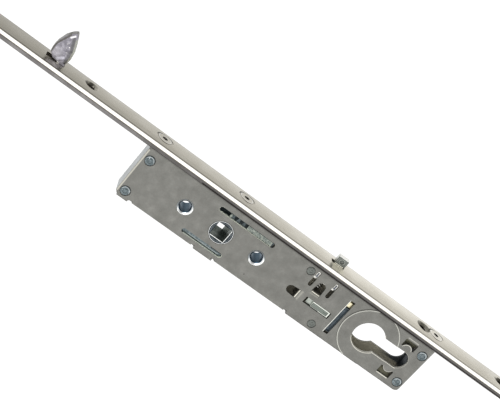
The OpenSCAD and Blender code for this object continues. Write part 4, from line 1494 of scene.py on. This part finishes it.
@dataclass
class Studio:
    """Floor, lights, surroundings and camera.

    Attributes:
        camera_mm: Where the camera stands.
        right: The picture's direction to the right.
        down: The picture's direction down.
        ahead: Where the camera looks.
        lens_mm: Focal length.
        sensor_mm: Width of the sensor.
        floor_m: Radius of the floor.
        floor_gap_m: How far the floor lies below the strip's lower end.
        floor_glow: How much white of its own the floor shows, for the light of a real studio's walls.
        backdrop: Brightness of the white that the camera sees behind the lock.
        fill: Brightness of the surroundings that light the lock.
        sideways: The surroundings' brightness from the -X side, at 0, to the +X side, at 1.
        upwards: Their brightness in front of the sheet with the windows, from straight down to straight up.
        far_side: Their brightness behind the far sheet.
        far_span: Where along Y the one turns into the other.
        lights: The soft lights.
    """

    camera_mm: Triple = (238.26, -582.02, 150.54)
    right: Triple = (0.61757, 0.02593, -0.78609)
    down: Triple = (-0.70697, -0.4197, -0.56925)
    ahead: Triple = (-0.34468, 0.90729, -0.24086)
    lens_mm: float = 96.64
    sensor_mm: float = 36.0
    floor_m: float = 0.3
    floor_gap_m: float = 0.0005
    floor_glow: float = 0.5
    backdrop: float = 1.1
    fill: float = 1.65
    sideways: tuple[Pair, ...] = (
        (0.0, 1.15), (0.3, 1.15), (0.475, 0.95), (0.675, 0.9), (0.8, 0.78), (0.88, 0.5), (0.96, 0.15),
        (1.0, 0.15),
    )
    upwards: tuple[Pair, ...] = (
        (0.0, 0.5), (0.27, 0.54), (0.29, 0.62), (0.32, 0.75), (0.345, 0.7), (0.37, 0.56), (0.405, 0.52),
        (0.44, 0.48), (0.49, 0.35), (0.56, 0.46), (0.68, 0.6), (0.85, 0.4), (1.0, 0.3),
    )
    far_side: float = 0.72
    far_span: Pair = (-0.4, 0.4)
    lights: tuple[SoftBox, ...] = (
        SoftBox("key", (-0.6, 1.5, 0.5), 0.7, 0.6, "F4F8FF"),
        SoftBox("front", (-0.9, -1.4, -0.1), 0.8, 0.9, "FFFDF8"),
        SoftBox("rim", (0.76, -0.47, 0.6), 0.5, 5.0, "FFFFFF"),
    )

    def place_camera(self) -> None:
        """Stands the camera where the photograph was taken from."""
        data = bpy.data.cameras.new("camera")
        data.sensor_width = self.sensor_mm
        data.lens = self.lens_mm
        data.clip_start = 0.01
        data.clip_end = 100.0
        camera = bpy.data.objects.new("camera", data)
        bpy.context.scene.collection.objects.link(camera)
        turn = Matrix((Vector(self.right), -Vector(self.down), -Vector(self.ahead))).transposed()
        camera.matrix_world = Matrix.Translation(Vector(self.camera_mm) * MM) @ turn.to_4x4()
        bpy.context.scene.camera = camera

    def lay_floor(self) -> None:
        """Lays the pale floor under the strip's lower end."""
        bpy.ops.object.select_all(action="DESELECT")
        bpy.ops.mesh.primitive_circle_add(vertices=96, radius=self.floor_m, fill_type="NGON")
        floor = bpy.context.object
        floor.name = "floor"
        floor.data.transform(Matrix.Translation((0, 0, CAD_BOX[0].z - self.floor_gap_m)))
        # Matt white paint on board: an even white without gloss.
        material = bpy.data.materials.new("matt_white_paint")
        material.use_nodes = True
        tree = material.node_tree
        tree.nodes.clear()
        settings = {
            "Base Color": linear("F2F2F1"),
            "Roughness": 0.9,
            "Emission Color": linear("FFFFFF"),
            "Emission Strength": self.floor_glow,
        }
        matt = add_node(tree, "ShaderNodeBsdfPrincipled", settings).outputs["BSDF"]
        add_node(tree, "ShaderNodeOutputMaterial", {}, {"Surface": matt})
        put_on(floor, material)

    @staticmethod
    def curve(tree: Tree, across: Socket, points: tuple[Pair, ...]) -> Socket:
        """Adds a curve that turns a direction into a brightness.

        Args:
            tree: The world's node tree.
            across: How far the direction leans one way, from -1 to 1.
            points: The curve's points: a place from 0 to 1, and a brightness up to 2.

        Returns:
            The brightness.
        """
        settings = {"From Min": -1.0, "From Max": 1.0}
        share = add_node(tree, "ShaderNodeMapRange", settings, {"Value": across}).outputs["Result"]
        node = add_node(tree, "ShaderNodeFloatCurve", {}, {"Value": share})
        line = node.mapping.curves[0]
        for _ in range(len(points) - 2):
            line.points.new(0.5, 0.5)
        # A curve ends at 1, so it holds half of each brightness, which is doubled after it.
        for point, (place, value) in zip(line.points, points):
            point.location = (place, value / 2)
        node.mapping.update()
        settings = {"operation": "MULTIPLY", 1: 2.0}
        return add_node(tree, "ShaderNodeMath", settings, {0: node.outputs["Value"]}).outputs["Value"]

    def surround(self) -> None:
        """Makes the soft, pale surroundings: dim in front of the strip, grey at the horizon behind it."""
        world = bpy.data.worlds.new("studio")
        bpy.context.scene.world = world
        world.use_nodes = True
        tree = world.node_tree
        tree.nodes.clear()
        way = add_node(tree, "ShaderNodeTexCoord").outputs["Generated"]
        x, y, z = add_node(tree, "ShaderNodeSeparateXYZ", {}, {"Vector": way}).outputs[:3]
        sideways, upwards = self.curve(tree, x, self.sideways), self.curve(tree, z, self.upwards)
        settings = {"From Min": self.far_span[0], "From Max": self.far_span[1]}
        behind = add_node(tree, "ShaderNodeMapRange", settings, {"Value": y}).outputs["Result"]
        settings = {"data_type": "FLOAT", 2: self.far_side}
        level = add_node(tree, "ShaderNodeMix", settings, {0: behind, 3: upwards}).outputs[0]
        both = {0: sideways, 1: level}
        strength = add_node(tree, "ShaderNodeMath", {"operation": "MULTIPLY"}, both).outputs[0]
        settings = {"operation": "MULTIPLY", 1: self.fill}
        lifted = add_node(tree, "ShaderNodeMath", settings, {0: strength}).outputs[0]
        soft = add_node(tree, "ShaderNodeBackground", {"Color": linear("FFFEFB")}, {"Strength": lifted})
        settings = {"Color": linear("FFFFFF"), "Strength": self.backdrop}
        white = add_node(tree, "ShaderNodeBackground", settings)
        seen = add_node(tree, "ShaderNodeLightPath").outputs["Is Camera Ray"]
        links = {0: seen, 1: soft.outputs["Background"], 2: white.outputs["Background"]}
        mixed = add_node(tree, "ShaderNodeMixShader", {}, links)
        add_node(tree, "ShaderNodeOutputWorld", {}, {"Surface": mixed.outputs["Shader"]})

    def build(self) -> None:
        """Sets the whole studio up."""
        self.place_camera()
        self.lay_floor()
        self.surround()
        for light in self.lights:
            light.hang()
        bpy.context.scene.view_settings.view_transform = "Standard"
        log.info("studio: floor, %d soft lights and the camera", len(self.lights))


def main() -> None:
    """Builds and dresses the lock, one sub-assembly after the other, and then the studio."""
    logging.basicConfig(level=logging.INFO, format="%(message)s")
    for group in (Strip(), Claws(), Case(), HandleDrive(), SprungPlunger(), KeyDrive()):
        group.build()
        group.dress()
        log.info("%s dressed", type(group).__name__)
    Studio().build()


if __name__ == "__main__":
    main()
